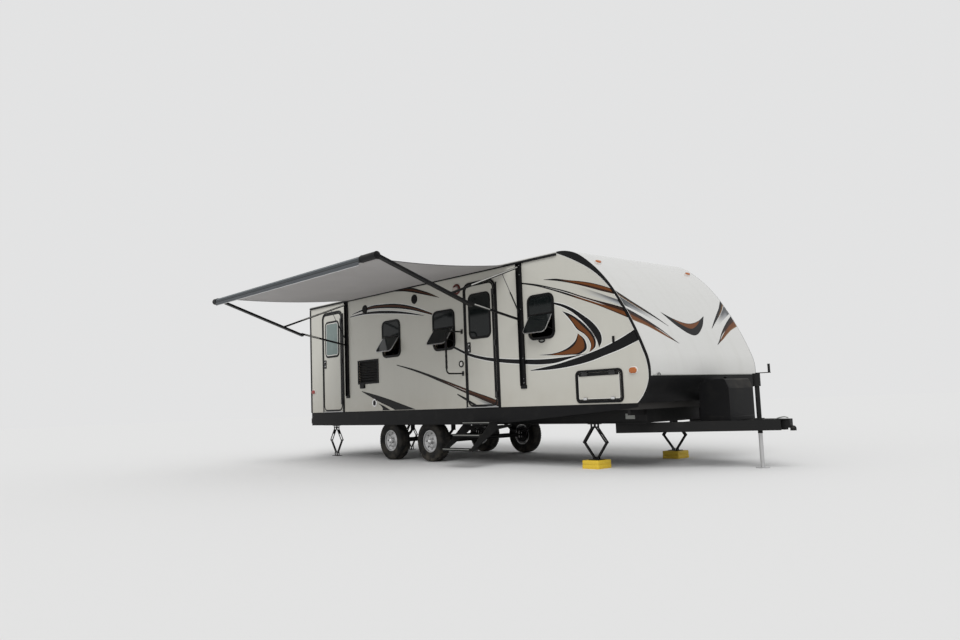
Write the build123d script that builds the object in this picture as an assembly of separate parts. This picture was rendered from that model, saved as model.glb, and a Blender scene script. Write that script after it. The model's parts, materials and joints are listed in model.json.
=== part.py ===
"""Travel caravan on a tandem axle, with a folding side awning, two entry doors and scissor jacks.

All sizes are in millimetres. X runs forward to the hitch, Y to the street side and Z up.
The origin is the centre of the tow ball. Heights in the tables are taken from the ground,
and every piece is lowered by the ball's height when it is written.
"""

from build123d import *
import os
from math import asin, atan2, degrees, hypot, sqrt

# Driving sizes of the body
BALL_HEIGHT = 480
HALF_WIDTH = 1219
WALL = 40
SHELL = 25
FLOOR_TOP = 850
FLOOR_THICK = 80
WALL_TOP = 2915
ROOF_EDGE = WALL_TOP + SHELL
ROOF_CROWN = 38
REAR_X = -9300
CAP_START_X = -2562
GUARD_TOP = 1176
INNER = HALF_WIDTH - WALL

# Front outline of the cap, from the roof down: via x, via z, end x, end z of each arc
OUTER_ARCS = [
    (-2346, 2913, -2146, 2825),
    (-1892, 2622, -1640, 2340),
    (-1380, 1928, -1173, 1488),
    (-1122, 1312, -1124, 1145),
    (-1189, 981, -1309, 852),
]
# Front edge of the painted side panel, where the black corner trim starts: same columns
TRIM_START_Z = 2918
INNER_ARCS = [
    (-2330, 2814, -2086, 2681),
    (-1846, 2508, -1643, 2289),
    (-1402, 1898, -1218, 1492),
    (-1160, 1310, -1154, 1147),
    (-1218, 990, -1340, 852),
]
TRIM_PROUD = 6

# Windows: side (-1 curb, 1 street), centre as a share of the body's length, centre z, width, height,
# opening pane's tilt in degrees
WINDOWS = [
    (-1, 0.31344, 2084, 510, 630, 33),
    (-1, 0.54495, 2095, 556, 640, 36),
    (-1, 0.70086, 2083, 540, 640, 36),
    (1, 0.31344, 2084, 510, 630, 0),
    (1, 0.52688, 2040, 1150, 620, 0),
    (1, 0.72581, 2083, 740, 620, 0),
    (1, 0.90860, 2250, 420, 380, 0),
]
WINDOW_RADIUS = 105
WINDOW_HINGE_RISE = 32
WINDOW_RIM = 34
WINDOW_PROUD = 14
WINDOW_LAP = 20
PANE = 6

# Entry doors: name, rear edge of frame, front edge of frame
DOOR_WIDE = 738
DOORS = [
    (name, REAR_X * share - DOOR_WIDE / 2, REAR_X * share + DOOR_WIDE / 2)
    for name, share in (("front", 0.45097), ("rear", 0.90968))
]
DOOR_FRAME_TOP = 2767
DOOR_FRAME = 30
DOOR_RADIUS = 140
DOOR_GAP = 6
DOOR_PROUD = 8
DOOR_FRAME_PROUD = 12
DOOR_GLASS = (450, 640, 70)
DOOR_GLASS_Z = 2237
HINGE_RADIUS = 8
HINGE_Y = HALF_WIDTH + DOOR_FRAME_PROUD + HINGE_RADIUS + 1
DOOR_HANDLE_Z = 1770
DOOR_SWINGS = [110, 90]
BAGGAGE_SWING = 160

# Baggage doors, one on each side: frame's rear edge, front edge, bottom, top
BAGGAGE = (-2329, -1546, 867, 1296)
BAGGAGE_RADIUS = 70

# Chassis
TRACK_Y = HALF_WIDTH - 169
RAIL_Y = TRACK_Y - 150
RAIL_BOTTOM = 589
RAIL_FLANGE = 76
RAIL_WEB = 7
RAIL_FLANGE_THICK = 9
RAIL_FRONT_X = -1450
FLOOR_BOTTOM = FLOOR_TOP - FLOOR_THICK
FLOOR_LAP = 14
FLOOR_FRONT_X = -1345
# Cross members: centre x, depth below the rails' top
CROSS_MEMBERS = [
    (-1500, 175),
    (-2700, 110),
    (REAR_X * 0.40430, 110),
    (REAR_X * 0.53763, 110),
    (REAR_X * 0.66452, 110),
    (REAR_X * 0.78495, 110),
    (REAR_X * 0.89247, 110),
    (REAR_X + 50, 110),
]
CROSS_HALF = 22
OUTRIGGER_HALF = 20
OUTRIGGER_DEEP = 70
SKIRT_THICK = 6
SKIRT_BOTTOM = 603
SKIRT_TOP = FLOOR_TOP - 1
SKIRT_RISE_START_X = -3950
SKIRT_RISE_END_X = -1500
SKIRT_RISE_END_Z = 785

# Drawbar
DRAWBAR_HEIGHT = 127
DRAWBAR_WIDE = 56
DRAWBAR_REAR_X = -1985
DRAWBAR_REAR_Y = RAIL_Y - 40
DRAWBAR_FRONT_X = -120
DRAWBAR_FRONT_Y = 62
DRAWBAR_TOP = RAIL_BOTTOM
DRAWBAR_BOTTOM = DRAWBAR_TOP - DRAWBAR_HEIGHT
BALL_SOCKET = 26
SOCKET_WALL = 10
SOCKET_THROAT = 24

# Wheels
AXLE_XS = [("front", REAR_X * 0.60538), ("rear", REAR_X * 0.72366)]
TYRE_RADIUS = 330
TYRE_WIDTH = 205
RIM_RADIUS = 178
RIM_WIDTH = 165
AXLE_TUBE = 38
SPINDLE = 24.95
HUB_BORE = 25
SPRING_HALF = 330

# Tongue jack
JACK_X = -430
JACK_LEG = 24.95
JACK_TUBE_BORE = 25
JACK_TUBE = 29
JACK_HEAD_TOP = 1160

# Scissor jacks: name, centre x, foot's pivot height, arm length, block under the foot
STABILISERS = [
    ("front", -2318, 138, 260, 110),
    ("rear", REAR_X + 400, 66, 290, 0),
]
STAB_Y = RAIL_Y
STAB_PIVOT_Z = 545
STAB_HALF_GAP = 32
STAB_PIN = 6
STAB_BORE = 6.05
STAB_FOLDED_ANGLE = 4.5
STAB_FOOT_CLEAR = 1.5
STAB_FOOT_THICK = 8

# Awning, in the plane of each arm set: y is measured outwards from the body's centre plane
CHANNEL_XS = [REAR_X * 0.355215, REAR_X * 0.85312]
CHANNEL_HALF = 47
CHANNEL_WALL = 3
CHANNEL_DEPTH = 35
CHANNEL_BOTTOM = 1140
CHANNEL_TOP = 2890
PIVOT_Y = HALF_WIDTH + 28
LOWER_PIVOT_Z = 2085
UPPER_PIVOT_Z = 2840
STRUT_PIVOT_Z = 2190
ELBOW = (HALF_WIDTH + 931, 2270)
ARM_TIP = (HALF_WIDTH + 2494, 2826)
ROLLER_OFFSET = 70
ROLLER_RADIUS = 40
HEAD_RADIUS = 47
HEAD_SPANS = [(-226, 113), (-46, 78)]
PIVOT_PIN = 6
PIVOT_BORE = 6.05
ARM_HALF = 38
ARM_WALL = 3
ARM_INSIDE = 12
ARM_OUTSIDE = 45
BAR_LANE = (8.5, 29.5)
BAR_HALF_DEPTH = 15
EAR_HALF = 3
STRUT_ON_BAR = 320
STRUT_TUBE_LENGTH = 316
STRUT_TUBE_RADIUS = 10
STRUT_FLOOR = 16
STRUT_ROD_RADIUS = 5
STRUT_BORE = 5.05
STRUT_EYE = 11
STRUT_EYE_HALF = 9
STRUT_PIN = 4
STRUT_PIN_BORE = 4.05
GUTTER_Z = (2890, 2922)
GUTTER_DEEP = 22
FABRIC_THICK = 4
FABRIC_SAG = 50
VALANCE_BELOW = 84
VALANCE_ABOVE = 20

# Entry steps under the front door: tread's outer edge y, tread's top z
STEP_TREADS = [(HALF_WIDTH + 161, 637), (HALF_WIDTH + 361, 465), (HALF_WIDTH + 561, 275)]
STEP_DEEP = 164
STEP_HALF = 300
STEP_HANG_Y = RAIL_Y + 25

# Roof units: centre x, centre y, length, width, height of each lid; then the air conditioner's shroud
ROOF_LIDS = [
    (REAR_X * 0.35484, 0, 400, 400, 75),
    (REAR_X * 0.76344, 300, 400, 400, 75),
    (REAR_X * 0.91398, -250, 400, 400, 75),
]
SHROUD_X = REAR_X * 0.56989
SHROUD_LOW = (960, 700, 110)
SHROUD_HIGH = (760, 560, 90)
SHROUD_HIGH_SHIFT = 20
SHROUD_TALL = 235

# Gas bottles' cover in x and height above the drawbar, and the battery's box
COVER_PROFILE = [(-1075, 0), (-1075, 400), (-1020, 520), (-700, 520), (-650, 400), (-650, 0)]
COVER_HALF_WIDTH = 290
BATTERY = (-1320, -1125, 60, 400, 150)


def block(x0, x1, y0, y1, z0, z1):
    """A plain rectangular piece between two corners."""
    size = (abs(x1 - x0), abs(y1 - y0), abs(z1 - z0))
    return Pos((x0 + x1) / 2, (y0 + y1) / 2, (z0 + z1) / 2) * Box(*size)


def rod(start, end, radius):
    """A round bar from one point to another."""
    start, end = Vector(*start), Vector(*end)
    plane = Plane(origin=start, z_dir=(end - start).normalized())
    low = (Align.CENTER, Align.CENTER, Align.MIN)
    return plane.location * Cylinder(radius, (end - start).length, align=low)


def side_plate(face, y_from, y_to):
    """Extrude a face drawn in x and z from one y to another, on the curb side (negative y)."""
    plane = Plane(origin=(0, -y_from, 0), x_dir=(1, 0, 0), z_dir=(0, -1, 0))
    return extrude(plane * face, amount=y_to - y_from)


def mirrored(piece):
    """The same piece on the other side of the centre plane."""
    return mirror(piece, about=Plane.XZ)


def on_side(piece, side):
    """Keep a curb-side piece, or mirror it for the street side."""
    return piece if side < 0 else mirrored(piece)


def rounded(cx, cz, wide, high, radius):
    """A rounded rectangle in x and z."""
    return Pos(cx, cz) * RectangleRounded(wide, high, radius)


def joined(pieces):
    """Fuse a list of pieces."""
    whole = pieces[0]
    for piece in pieces[1:]:
        whole = whole + piece
    return whole


def loose(pieces):
    """Solids that don't touch, kept in one node."""
    solids = []
    for piece in pieces:
        solids.extend(piece.solids())
    return Compound(children=solids)


# Front outline

def front_face(start_z, arcs, rear_x, bottom_z):
    """The area behind a front outline, from rear_x forward and down to bottom_z."""
    points = [(rear_x, bottom_z), (rear_x, start_z), (CAP_START_X, start_z)]
    edges = [Line(points[0], points[1]), Line(points[1], points[2])]
    here = points[2]
    for via_x, via_z, end_x, end_z in arcs:
        edges.append(ThreePointArc(here, (via_x, via_z), (end_x, end_z)))
        here = (end_x, end_z)
    if here[1] > bottom_z:
        below = (here[0] - (here[1] - bottom_z), bottom_z)
        edges.append(Line(here, below))
        here = below
    edges.append(Line(here, points[0]))
    return make_face(Curve() + edges)


def area(x0, x1, z0, z1):
    """A rectangle in x and z."""
    return Pos((x0 + x1) / 2, (z0 + z1) / 2) * Rectangle(abs(x1 - x0), abs(z1 - z0))


BODY_OUTLINE = front_face(ROOF_EDGE, OUTER_ARCS, REAR_X - SHELL, FLOOR_TOP - SHELL)
WALL_OUTLINE = offset(BODY_OUTLINE, amount=-SHELL, kind=Kind.INTERSECTION)


def make_front_cap():
    """White moulded cap that curves from the roof down to the stone guard."""
    shell = BODY_OUTLINE - WALL_OUTLINE
    white = shell & area(CAP_START_X, 0, GUARD_TOP, ROOF_EDGE + 100)
    return side_plate(white, -HALF_WIDTH, HALF_WIDTH)


def make_rock_guard():
    """Black stone guard round the foot of the nose."""
    shell = BODY_OUTLINE - WALL_OUTLINE
    black = shell & area(CAP_START_X, 0, FLOOR_TOP, GUARD_TOP)
    return side_plate(black, -HALF_WIDTH, HALF_WIDTH)


def wall_face():
    """Outline of a side wall before its openings are cut."""
    return WALL_OUTLINE & area(REAR_X, 0, FLOOR_TOP, WALL_TOP)


def door_opening(rear, front):
    """Hole for an entry door's leaf, open to the floor."""
    lap = DOOR_FRAME / 2
    top = DOOR_FRAME_TOP - lap
    middle = (rear + front) / 2
    wide = front - rear - 2 * lap
    high = top - FLOOR_TOP + DOOR_RADIUS
    shape = rounded(middle, top - high / 2, wide, high, DOOR_RADIUS - lap)
    return shape & area(rear, front, FLOOR_TOP, top + 1)


def baggage_opening(lap):
    """Rounded rectangle inside the baggage door's frame."""
    rear, front, bottom, top = BAGGAGE
    wide, high = front - rear - 2 * lap, top - bottom - 2 * lap
    return rounded((rear + front) / 2, (bottom + top) / 2, wide, high, BAGGAGE_RADIUS - lap)


def window_hole(cx, cz, wide, high):
    """Hole in the wall behind a window's rim."""
    lap = 2 * WINDOW_LAP
    return rounded(cx, cz, wide - lap, high - lap, WINDOW_RADIUS - WINDOW_LAP)


# Wall vents: side, centre as a share of the body's length, centre z, width, height
VENTS = [
    (-1, 0.78032, 1551, 660, 430),
    (1, 0.82796, 1150, 360, 360),
]
VENT_LAP = 22


def make_wall(side):
    """A side wall as one sandwich panel with every opening cut."""
    face = wall_face() - baggage_opening(DOOR_FRAME / 2)
    for where, share, cz, wide, high, tilt in WINDOWS:
        if where == side:
            face = face - window_hole(REAR_X * share, cz, wide, high)
    for where, share, cz, wide, high in VENTS:
        if where == side:
            cx = REAR_X * share
            face = face - area(cx - wide / 2 + VENT_LAP, cx + wide / 2 - VENT_LAP,
                               cz - high / 2 + VENT_LAP, cz + high / 2 - VENT_LAP)
    if side < 0:
        for name, rear, front in DOORS:
            face = face - door_opening(rear, front)
    return on_side(side_plate(face, INNER, HALF_WIDTH), side)


def make_rear_wall():
    """Flat rear wall between the two side walls."""
    return block(REAR_X, REAR_X + WALL, -INNER, INNER, FLOOR_TOP, WALL_TOP)


def roof_section(crown):
    """Cross-section of the roof in y and z: flat below, crowned above."""
    edges = [
        Line((-HALF_WIDTH, WALL_TOP), (HALF_WIDTH, WALL_TOP)),
        Line((HALF_WIDTH, WALL_TOP), (HALF_WIDTH, ROOF_EDGE)),
        ThreePointArc((HALF_WIDTH, ROOF_EDGE), (0, ROOF_EDGE + crown), (-HALF_WIDTH, ROOF_EDGE)),
        Line((-HALF_WIDTH, ROOF_EDGE), (-HALF_WIDTH, WALL_TOP)),
    ]
    return make_face(Curve() + edges)


def make_roof():
    """Crowned roof that runs out flat where it meets the front cap."""
    blend_x = CAP_START_X - 420
    plane = Plane(origin=(REAR_X, 0, 0), x_dir=(0, 1, 0), z_dir=(1, 0, 0))
    deck = extrude(plane * roof_section(ROOF_CROWN), amount=blend_x - REAR_X)
    here = Plane(origin=(blend_x, 0, 0), x_dir=(0, 1, 0), z_dir=(1, 0, 0))
    there = Plane(origin=(CAP_START_X, 0, 0), x_dir=(0, 1, 0), z_dir=(1, 0, 0))
    nose = loft([here * roof_section(ROOF_CROWN), there * roof_section(1)], ruled=True)
    return deck + nose


def make_floor():
    """Floor sandwich with its sealed underbelly."""
    edge = HALF_WIDTH - FLOOR_LAP
    return block(REAR_X, FLOOR_FRONT_X, -edge, edge, FLOOR_BOTTOM, FLOOR_TOP)


def make_corner_trim():
    """Black band over the joint between each side panel and the cap, wide at the brow."""
    outer = front_face(ROOF_EDGE, OUTER_ARCS, CAP_START_X - 1, FLOOR_TOP)
    inner = front_face(TRIM_START_Z, INNER_ARCS, CAP_START_X - 2, FLOOR_TOP - 1)
    band = side_plate(outer - inner, HALF_WIDTH, HALF_WIDTH + TRIM_PROUD)
    low, high = GUTTER_Z
    deep = HALF_WIDTH + GUTTER_DEEP
    gutter = block(REAR_X + 20, CAP_START_X - 10, -deep, -HALF_WIDTH, low, high)
    pieces = []
    for piece in (band, gutter):
        pieces.extend([piece, mirrored(piece)])
    for side in (-1, 1):
        y_out = side * (HALF_WIDTH + TRIM_PROUD)
        corner = block(REAR_X - TRIM_PROUD, REAR_X + 40, side * HALF_WIDTH, y_out, FLOOR_TOP, GUTTER_Z[0] - 4)
        back = block(REAR_X - TRIM_PROUD, REAR_X, side * (HALF_WIDTH - 40), y_out, FLOOR_TOP, GUTTER_Z[0] - 4)
        pieces.append(corner + back)
    return loose(pieces)


def make_skirts():
    """Sheet skirts below the walls, tapering up to the nose."""
    edge = HALF_WIDTH - FLOOR_LAP
    outline = Polyline(
        (REAR_X, SKIRT_TOP), (REAR_X, SKIRT_BOTTOM), (SKIRT_RISE_START_X, SKIRT_BOTTOM),
        (SKIRT_RISE_END_X, SKIRT_RISE_END_Z), (FLOOR_FRONT_X, SKIRT_RISE_END_Z + 15),
        (FLOOR_FRONT_X, SKIRT_TOP), close=True)
    plate = side_plate(make_face(outline), edge, edge + SKIRT_THICK)
    return loose([plate, mirrored(plate)])


def make_chassis_rails():
    """Two rolled rails, each a top flange, a web and a bottom flange."""
    top, half, thick = FLOOR_BOTTOM, RAIL_FLANGE / 2, RAIL_FLANGE_THICK
    rear = REAR_X - 20
    rails = []
    for y in (-RAIL_Y, RAIL_Y):
        low = block(rear, RAIL_FRONT_X, y - half, y + half, RAIL_BOTTOM, RAIL_BOTTOM + thick)
        high = block(rear, RAIL_FRONT_X, y - half, y + half, top - thick, top)
        web = block(rear, RAIL_FRONT_X, y - RAIL_WEB / 2, y + RAIL_WEB / 2, RAIL_BOTTOM, top)
        rails.append(low + web + high)
    return loose(rails)


def make_cross_members():
    """Cross members between the rails and outriggers outside them, all cut to the rails' profile."""
    top = FLOOR_BOTTOM
    low, high = make_chassis_rails().solids()
    between = RAIL_Y - RAIL_WEB / 2
    outer = HALF_WIDTH - FLOOR_LAP - 2
    pieces = []
    for x, deep in CROSS_MEMBERS:
        pieces.append(block(x - CROSS_HALF, x + CROSS_HALF, -between, between, top - deep, top) - low - high)
        for side in (-1, 1):
            inner = side * (RAIL_Y + RAIL_WEB / 2)
            arm = block(x - OUTRIGGER_HALF, x + OUTRIGGER_HALF, inner, side * outer, top - OUTRIGGER_DEEP, top)
            pieces.append(arm - low - high)
    return loose(pieces)


def make_drawbar_frame():
    """Two box beams that converge on the coupler, with a cross beam and the jack's plate."""
    beams = []
    for side in (-1, 1):
        rear = Vector(DRAWBAR_REAR_X, side * DRAWBAR_REAR_Y, DRAWBAR_BOTTOM)
        front = Vector(DRAWBAR_FRONT_X, side * DRAWBAR_FRONT_Y, DRAWBAR_BOTTOM)
        along = front - rear
        plane = Plane(origin=rear, x_dir=along, z_dir=(0, 0, 1))
        low = (Align.MIN, Align.CENTER, Align.MIN)
        beams.append(plane.location * Box(along.length, DRAWBAR_WIDE, DRAWBAR_HEIGHT, align=low))
    slope = (DRAWBAR_REAR_Y - DRAWBAR_FRONT_Y) / (DRAWBAR_FRONT_X - DRAWBAR_REAR_X)
    for x in (-1180, -760):
        half = DRAWBAR_FRONT_Y + slope * (DRAWBAR_FRONT_X - x)
        beams.append(block(x - 25, x + 25, -half, half, DRAWBAR_TOP - 76, DRAWBAR_TOP))
    plate = block(JACK_X - 90, JACK_X + 90, -150, 150, DRAWBAR_TOP, DRAWBAR_TOP + 8)
    hole = Pos(JACK_X, 0, DRAWBAR_TOP) * Cylinder(JACK_TUBE + 0.5, 60)
    return joined(beams + [plate]) - hole


def make_coupler():
    """Pressed coupler with the ball socket at its nose."""
    top = DRAWBAR_TOP
    outline = Polyline((-330, -150), (-330, 150), (-110, 62), (-30, 40), (-30, -40), (-110, -62), close=True)
    plate = extrude(Pos(0, 0, top) * make_face(outline), amount=8)
    neck = block(-120, -20, -36, 36, BALL_HEIGHT + 8, top + 8)
    head = BALL_SOCKET + SOCKET_WALL
    bulb = Pos(0, 0, BALL_HEIGHT) * Sphere(head)
    low = (Align.CENTER, Align.CENTER, Align.MAX)
    collar = Pos(0, 0, BALL_HEIGHT) * Cylinder(head, SOCKET_THROAT, align=low)
    inside = Pos(0, 0, BALL_HEIGHT) * Sphere(BALL_SOCKET)
    throat = Pos(0, 0, BALL_HEIGHT) * Cylinder(BALL_SOCKET, SOCKET_THROAT + 20, align=low)
    clear = block(-400, 400, -200, 200, BALL_HEIGHT - 200, BALL_HEIGHT - SOCKET_THROAT)
    return (plate + neck + bulb + collar - inside - throat) - clear


def make_drawbar_covers():
    """Moulded cover over the two gas bottles, and the battery's box."""
    section = Polyline(*COVER_PROFILE, close=True)
    plane = Plane(origin=(0, COVER_HALF_WIDTH, DRAWBAR_TOP), x_dir=(1, 0, 0), z_dir=(0, -1, 0))
    cover = extrude(plane * make_face(section), amount=2 * COVER_HALF_WIDTH)
    cover = fillet(cover.edges().filter_by(Axis.Y).group_by(Axis.Z)[-1], 30)
    x0, x1, y0, y1, tall = BATTERY
    battery = block(x0, x1, y0, y1, DRAWBAR_TOP, DRAWBAR_TOP + tall)
    return loose([cover, battery])


def make_tongue_jack_tube():
    """Fixed outer tube of the tongue jack with its gear head and crank."""
    low = (Align.CENTER, Align.CENTER, Align.MIN)
    bottom = DRAWBAR_BOTTOM - 40
    tube = Pos(JACK_X, 0, bottom) * Cylinder(JACK_TUBE, 1010 - bottom, align=low)
    flange = Pos(JACK_X, 0, DRAWBAR_TOP + 8) * Cylinder(62, 10, align=low)
    head = Pos(JACK_X, 0, 1000) * Cylinder(46, JACK_HEAD_TOP - 1000, align=low)
    bore = Pos(JACK_X, 0, bottom - 5) * Cylinder(JACK_TUBE_BORE, 980 - bottom, align=low)
    arm = block(JACK_X - 6, JACK_X + 190, -12, 12, JACK_HEAD_TOP - 2, JACK_HEAD_TOP + 8)
    grip = Pos(JACK_X + 175, 0, JACK_HEAD_TOP) * Cylinder(15, 110, align=low)
    return tube + flange + head + arm + grip - bore


def make_tongue_jack_leg():
    """Inner leg with its foot plate on the ground."""
    low = (Align.CENTER, Align.CENTER, Align.MIN)
    leg = Pos(JACK_X, 0, 5) * Cylinder(JACK_LEG, 560, align=low)
    foot = Pos(JACK_X, 0, 0) * Cylinder(85, 10, align=low)
    return leg + foot


def make_bumper():
    """Square tube bumper on two arms."""
    half = HALF_WIDTH - 69
    tube = block(REAR_X - 130, REAR_X - 30, -half, half, 640, 740)
    arms = [block(REAR_X - 40, REAR_X - 20, y - 30, y + 30, 640, 740) for y in (-RAIL_Y, RAIL_Y)]
    return joined([tube] + arms)


# Windows and doors

def make_window_frames():
    """Black rims of all fixed windows."""
    rims = []
    for side, share, cz, wide, high, tilt in WINDOWS:
        cx = REAR_X * share
        cut = 2 * WINDOW_RIM
        face = rounded(cx, cz, wide, high, WINDOW_RADIUS)
        face = face - rounded(cx, cz, wide - cut, high - cut, WINDOW_RADIUS - WINDOW_RIM)
        rims.append(on_side(side_plate(face, HALF_WIDTH, HALF_WIDTH + WINDOW_PROUD), side))
    return loose(rims)


def make_window_panes():
    """Tinted panes: the curb side's lower halves stand open on their top hinge."""
    panes = []
    for side, share, cz, wide, high, tilt in WINDOWS:
        cx = REAR_X * share
        split = cz + WINDOW_HINGE_RISE
        inner_w, inner_h = wide - 2 * WINDOW_RIM, high - 2 * WINDOW_RIM
        radius = WINDOW_RADIUS - WINDOW_RIM
        whole = rounded(cx, cz, inner_w - 1, inner_h - 1, radius)
        if not tilt:
            panes.append(on_side(side_plate(whole, HALF_WIDTH + 2, HALF_WIDTH + 2 + PANE), side))
            continue
        upper = whole & area(cx - wide, cx + wide, split + 6, cz + high)
        lower = whole & area(cx - wide, cx + wide, cz - high, split - 6)
        panes.append(on_side(side_plate(upper, HALF_WIDTH + 2, HALF_WIDTH + 2 + PANE), side))
        leaf = side_plate(lower, HALF_WIDTH + 4, HALF_WIDTH + 4 + PANE)
        hinge = Axis((cx, -(HALF_WIDTH + 4 + PANE), split - 4), (1, 0, 0))
        panes.append(on_side(leaf.rotate(hinge, -tilt), side))
    return loose(panes)


def door_ring(rear, front):
    """Frame round an entry door, open at the sill."""
    middle, wide = (rear + front) / 2, front - rear
    high = DOOR_FRAME_TOP - FLOOR_TOP + DOOR_RADIUS
    outer = rounded(middle, DOOR_FRAME_TOP - high / 2, wide, high, DOOR_RADIUS)
    cut = 2 * DOOR_FRAME
    inner = rounded(middle, DOOR_FRAME_TOP - high / 2, wide - cut, high - cut, DOOR_RADIUS - DOOR_FRAME)
    ring = (outer - inner) & area(rear, front, FLOOR_TOP, DOOR_FRAME_TOP + 1)
    sill = area(rear, front, FLOOR_TOP, FLOOR_TOP + 14)
    return side_plate(ring + sill, HALF_WIDTH, HALF_WIDTH + DOOR_FRAME_PROUD)


def make_door_frames():
    """Frames of the entry doors and of the baggage doors."""
    frames = [door_ring(rear, front) for name, rear, front in DOORS]
    ring = baggage_opening(0) - baggage_opening(DOOR_FRAME)
    baggage = side_plate(ring, HALF_WIDTH, HALF_WIDTH + DOOR_FRAME_PROUD)
    return loose(frames + [baggage, mirrored(baggage)])


def door_leaf_face(rear, front):
    """Outline of an entry door's leaf inside its frame."""
    middle = (rear + front) / 2
    inset = DOOR_FRAME + DOOR_GAP
    bottom = FLOOR_TOP + 14 + DOOR_GAP
    top = DOOR_FRAME_TOP - inset
    high = top - bottom + DOOR_RADIUS
    shape = rounded(middle, top - high / 2, front - rear - 2 * inset, high, DOOR_RADIUS - inset)
    return shape & area(rear, front, bottom, top + 1)


def glass_face(rear, front, grow):
    """Rounded window of an entry door."""
    wide, high, radius = DOOR_GLASS
    return rounded((rear + front) / 2, DOOR_GLASS_Z, wide + grow, high + grow, radius + grow / 2)


def make_entry_door(rear, front):
    """Door leaf with its window cut, three hinge knuckles and the lock's handle."""
    face = door_leaf_face(rear, front) - glass_face(rear, front, 0)
    out = HALF_WIDTH + DOOR_PROUD
    leaf = side_plate(face, INNER, out)
    hinge_x = front - DOOR_FRAME
    edge = hinge_x - DOOR_GAP
    for z in (1040, 1800, 2560):
        knuckle = rod((hinge_x, -HINGE_Y, z - 40), (hinge_x, -HINGE_Y, z + 40), HINGE_RADIUS)
        strap = block(edge - 40, hinge_x, -HINGE_Y, -(HINGE_Y - 6), z - 40, z + 40)
        pad = block(edge - 40, edge - 4, -(HINGE_Y - 1), -out + 2, z - 40, z + 40)
        leaf = leaf + knuckle + strap + pad
    lock_x = rear + DOOR_FRAME + 75
    lock = block(lock_x - 35, lock_x + 35, -(out + 6), -out, DOOR_HANDLE_Z - 75, DOOR_HANDLE_Z + 75)
    pull = block(lock_x - 20, lock_x + 28, -(out + 26), -(out + 5), DOOR_HANDLE_Z + 5, DOOR_HANDLE_Z + 30)
    return leaf + lock + pull


def make_door_glass(rear, front):
    """Dark pane that fills the door's window."""
    return side_plate(glass_face(rear, front, 0), HALF_WIDTH - 20, HALF_WIDTH + DOOR_PROUD + 4)


def make_baggage_door(side):
    """Baggage door leaf hung from its top edge, with two latches."""
    rear, front, bottom, top = BAGGAGE
    out = HALF_WIDTH + DOOR_PROUD
    leaf = side_plate(baggage_opening(DOOR_FRAME + DOOR_GAP), INNER, out)
    hinge_z = top - DOOR_FRAME
    middle = (rear + front) / 2
    for x in (middle - 230, middle + 230):
        knuckle = rod((x - 50, -HINGE_Y, hinge_z), (x + 50, -HINGE_Y, hinge_z), HINGE_RADIUS)
        strap = block(x - 50, x + 50, -HINGE_Y, -(HINGE_Y - 6), hinge_z - DOOR_GAP - 40, hinge_z)
        pad = block(x - 50, x + 50, -(HINGE_Y - 1), -out + 2, hinge_z - DOOR_GAP - 40, hinge_z - DOOR_GAP - 4)
        leaf = leaf + knuckle + strap + pad
        leaf = leaf + block(x - 28, x + 28, -(out + 14), -out + 1, bottom + DOOR_FRAME + 12, bottom + DOOR_FRAME + 42)
    return on_side(leaf, side)


def make_wall_vents():
    """Louvred vents with their frames and slats."""
    vents = []
    for side, share, cz, wide, high in VENTS:
        cx = REAR_X * share
        out = HALF_WIDTH + 12
        border = area(cx - wide / 2, cx + wide / 2, cz - high / 2, cz + high / 2)
        hole = area(cx - wide / 2 + 30, cx + wide / 2 - 30, cz - high / 2 + 30, cz + high / 2 - 30)
        vent = side_plate(border - hole, HALF_WIDTH, out)
        back = area(cx - wide / 2 + 24, cx + wide / 2 - 24, cz - high / 2 + 24, cz + high / 2 - 24)
        vent = vent + side_plate(back, HALF_WIDTH - 30, HALF_WIDTH - 24)
        slats = int((high - 60) / 42)
        pitch = (high - 60) / slats
        for i in range(slats):
            z = cz - high / 2 + 30 + pitch * (i + 0.5)
            slat = Box(wide - 58, 44, 5)
            vent = vent + Pos(cx, -(HALF_WIDTH - 8), z) * Rot(28, 0, 0) * slat
        vents.append(on_side(vent, side))
    return loose(vents)


# Wheels and axles

# Tyre's half section: radius, distance from the middle plane
TYRE_SECTION = [
    (RIM_RADIUS, 0.5 * RIM_WIDTH),
    (RIM_RADIUS + 34, 0.5 * TYRE_WIDTH - 6),
    (RIM_RADIUS + 80, 0.5 * TYRE_WIDTH),
    (TYRE_RADIUS - 24, 0.5 * TYRE_WIDTH - 12),
    (TYRE_RADIUS, 0.5 * TYRE_WIDTH - 34),
]


def make_tyre(x, side):
    """Tyre as one ring with a bulged sidewall and a chamfered shoulder."""
    near = [(r, -y) for r, y in TYRE_SECTION]
    section = make_face(Polyline(*TYRE_SECTION, *reversed(near), close=True))
    return Pos(x, side * TRACK_Y, TYRE_RADIUS) * revolve(section, axis=Axis.Y)


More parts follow.
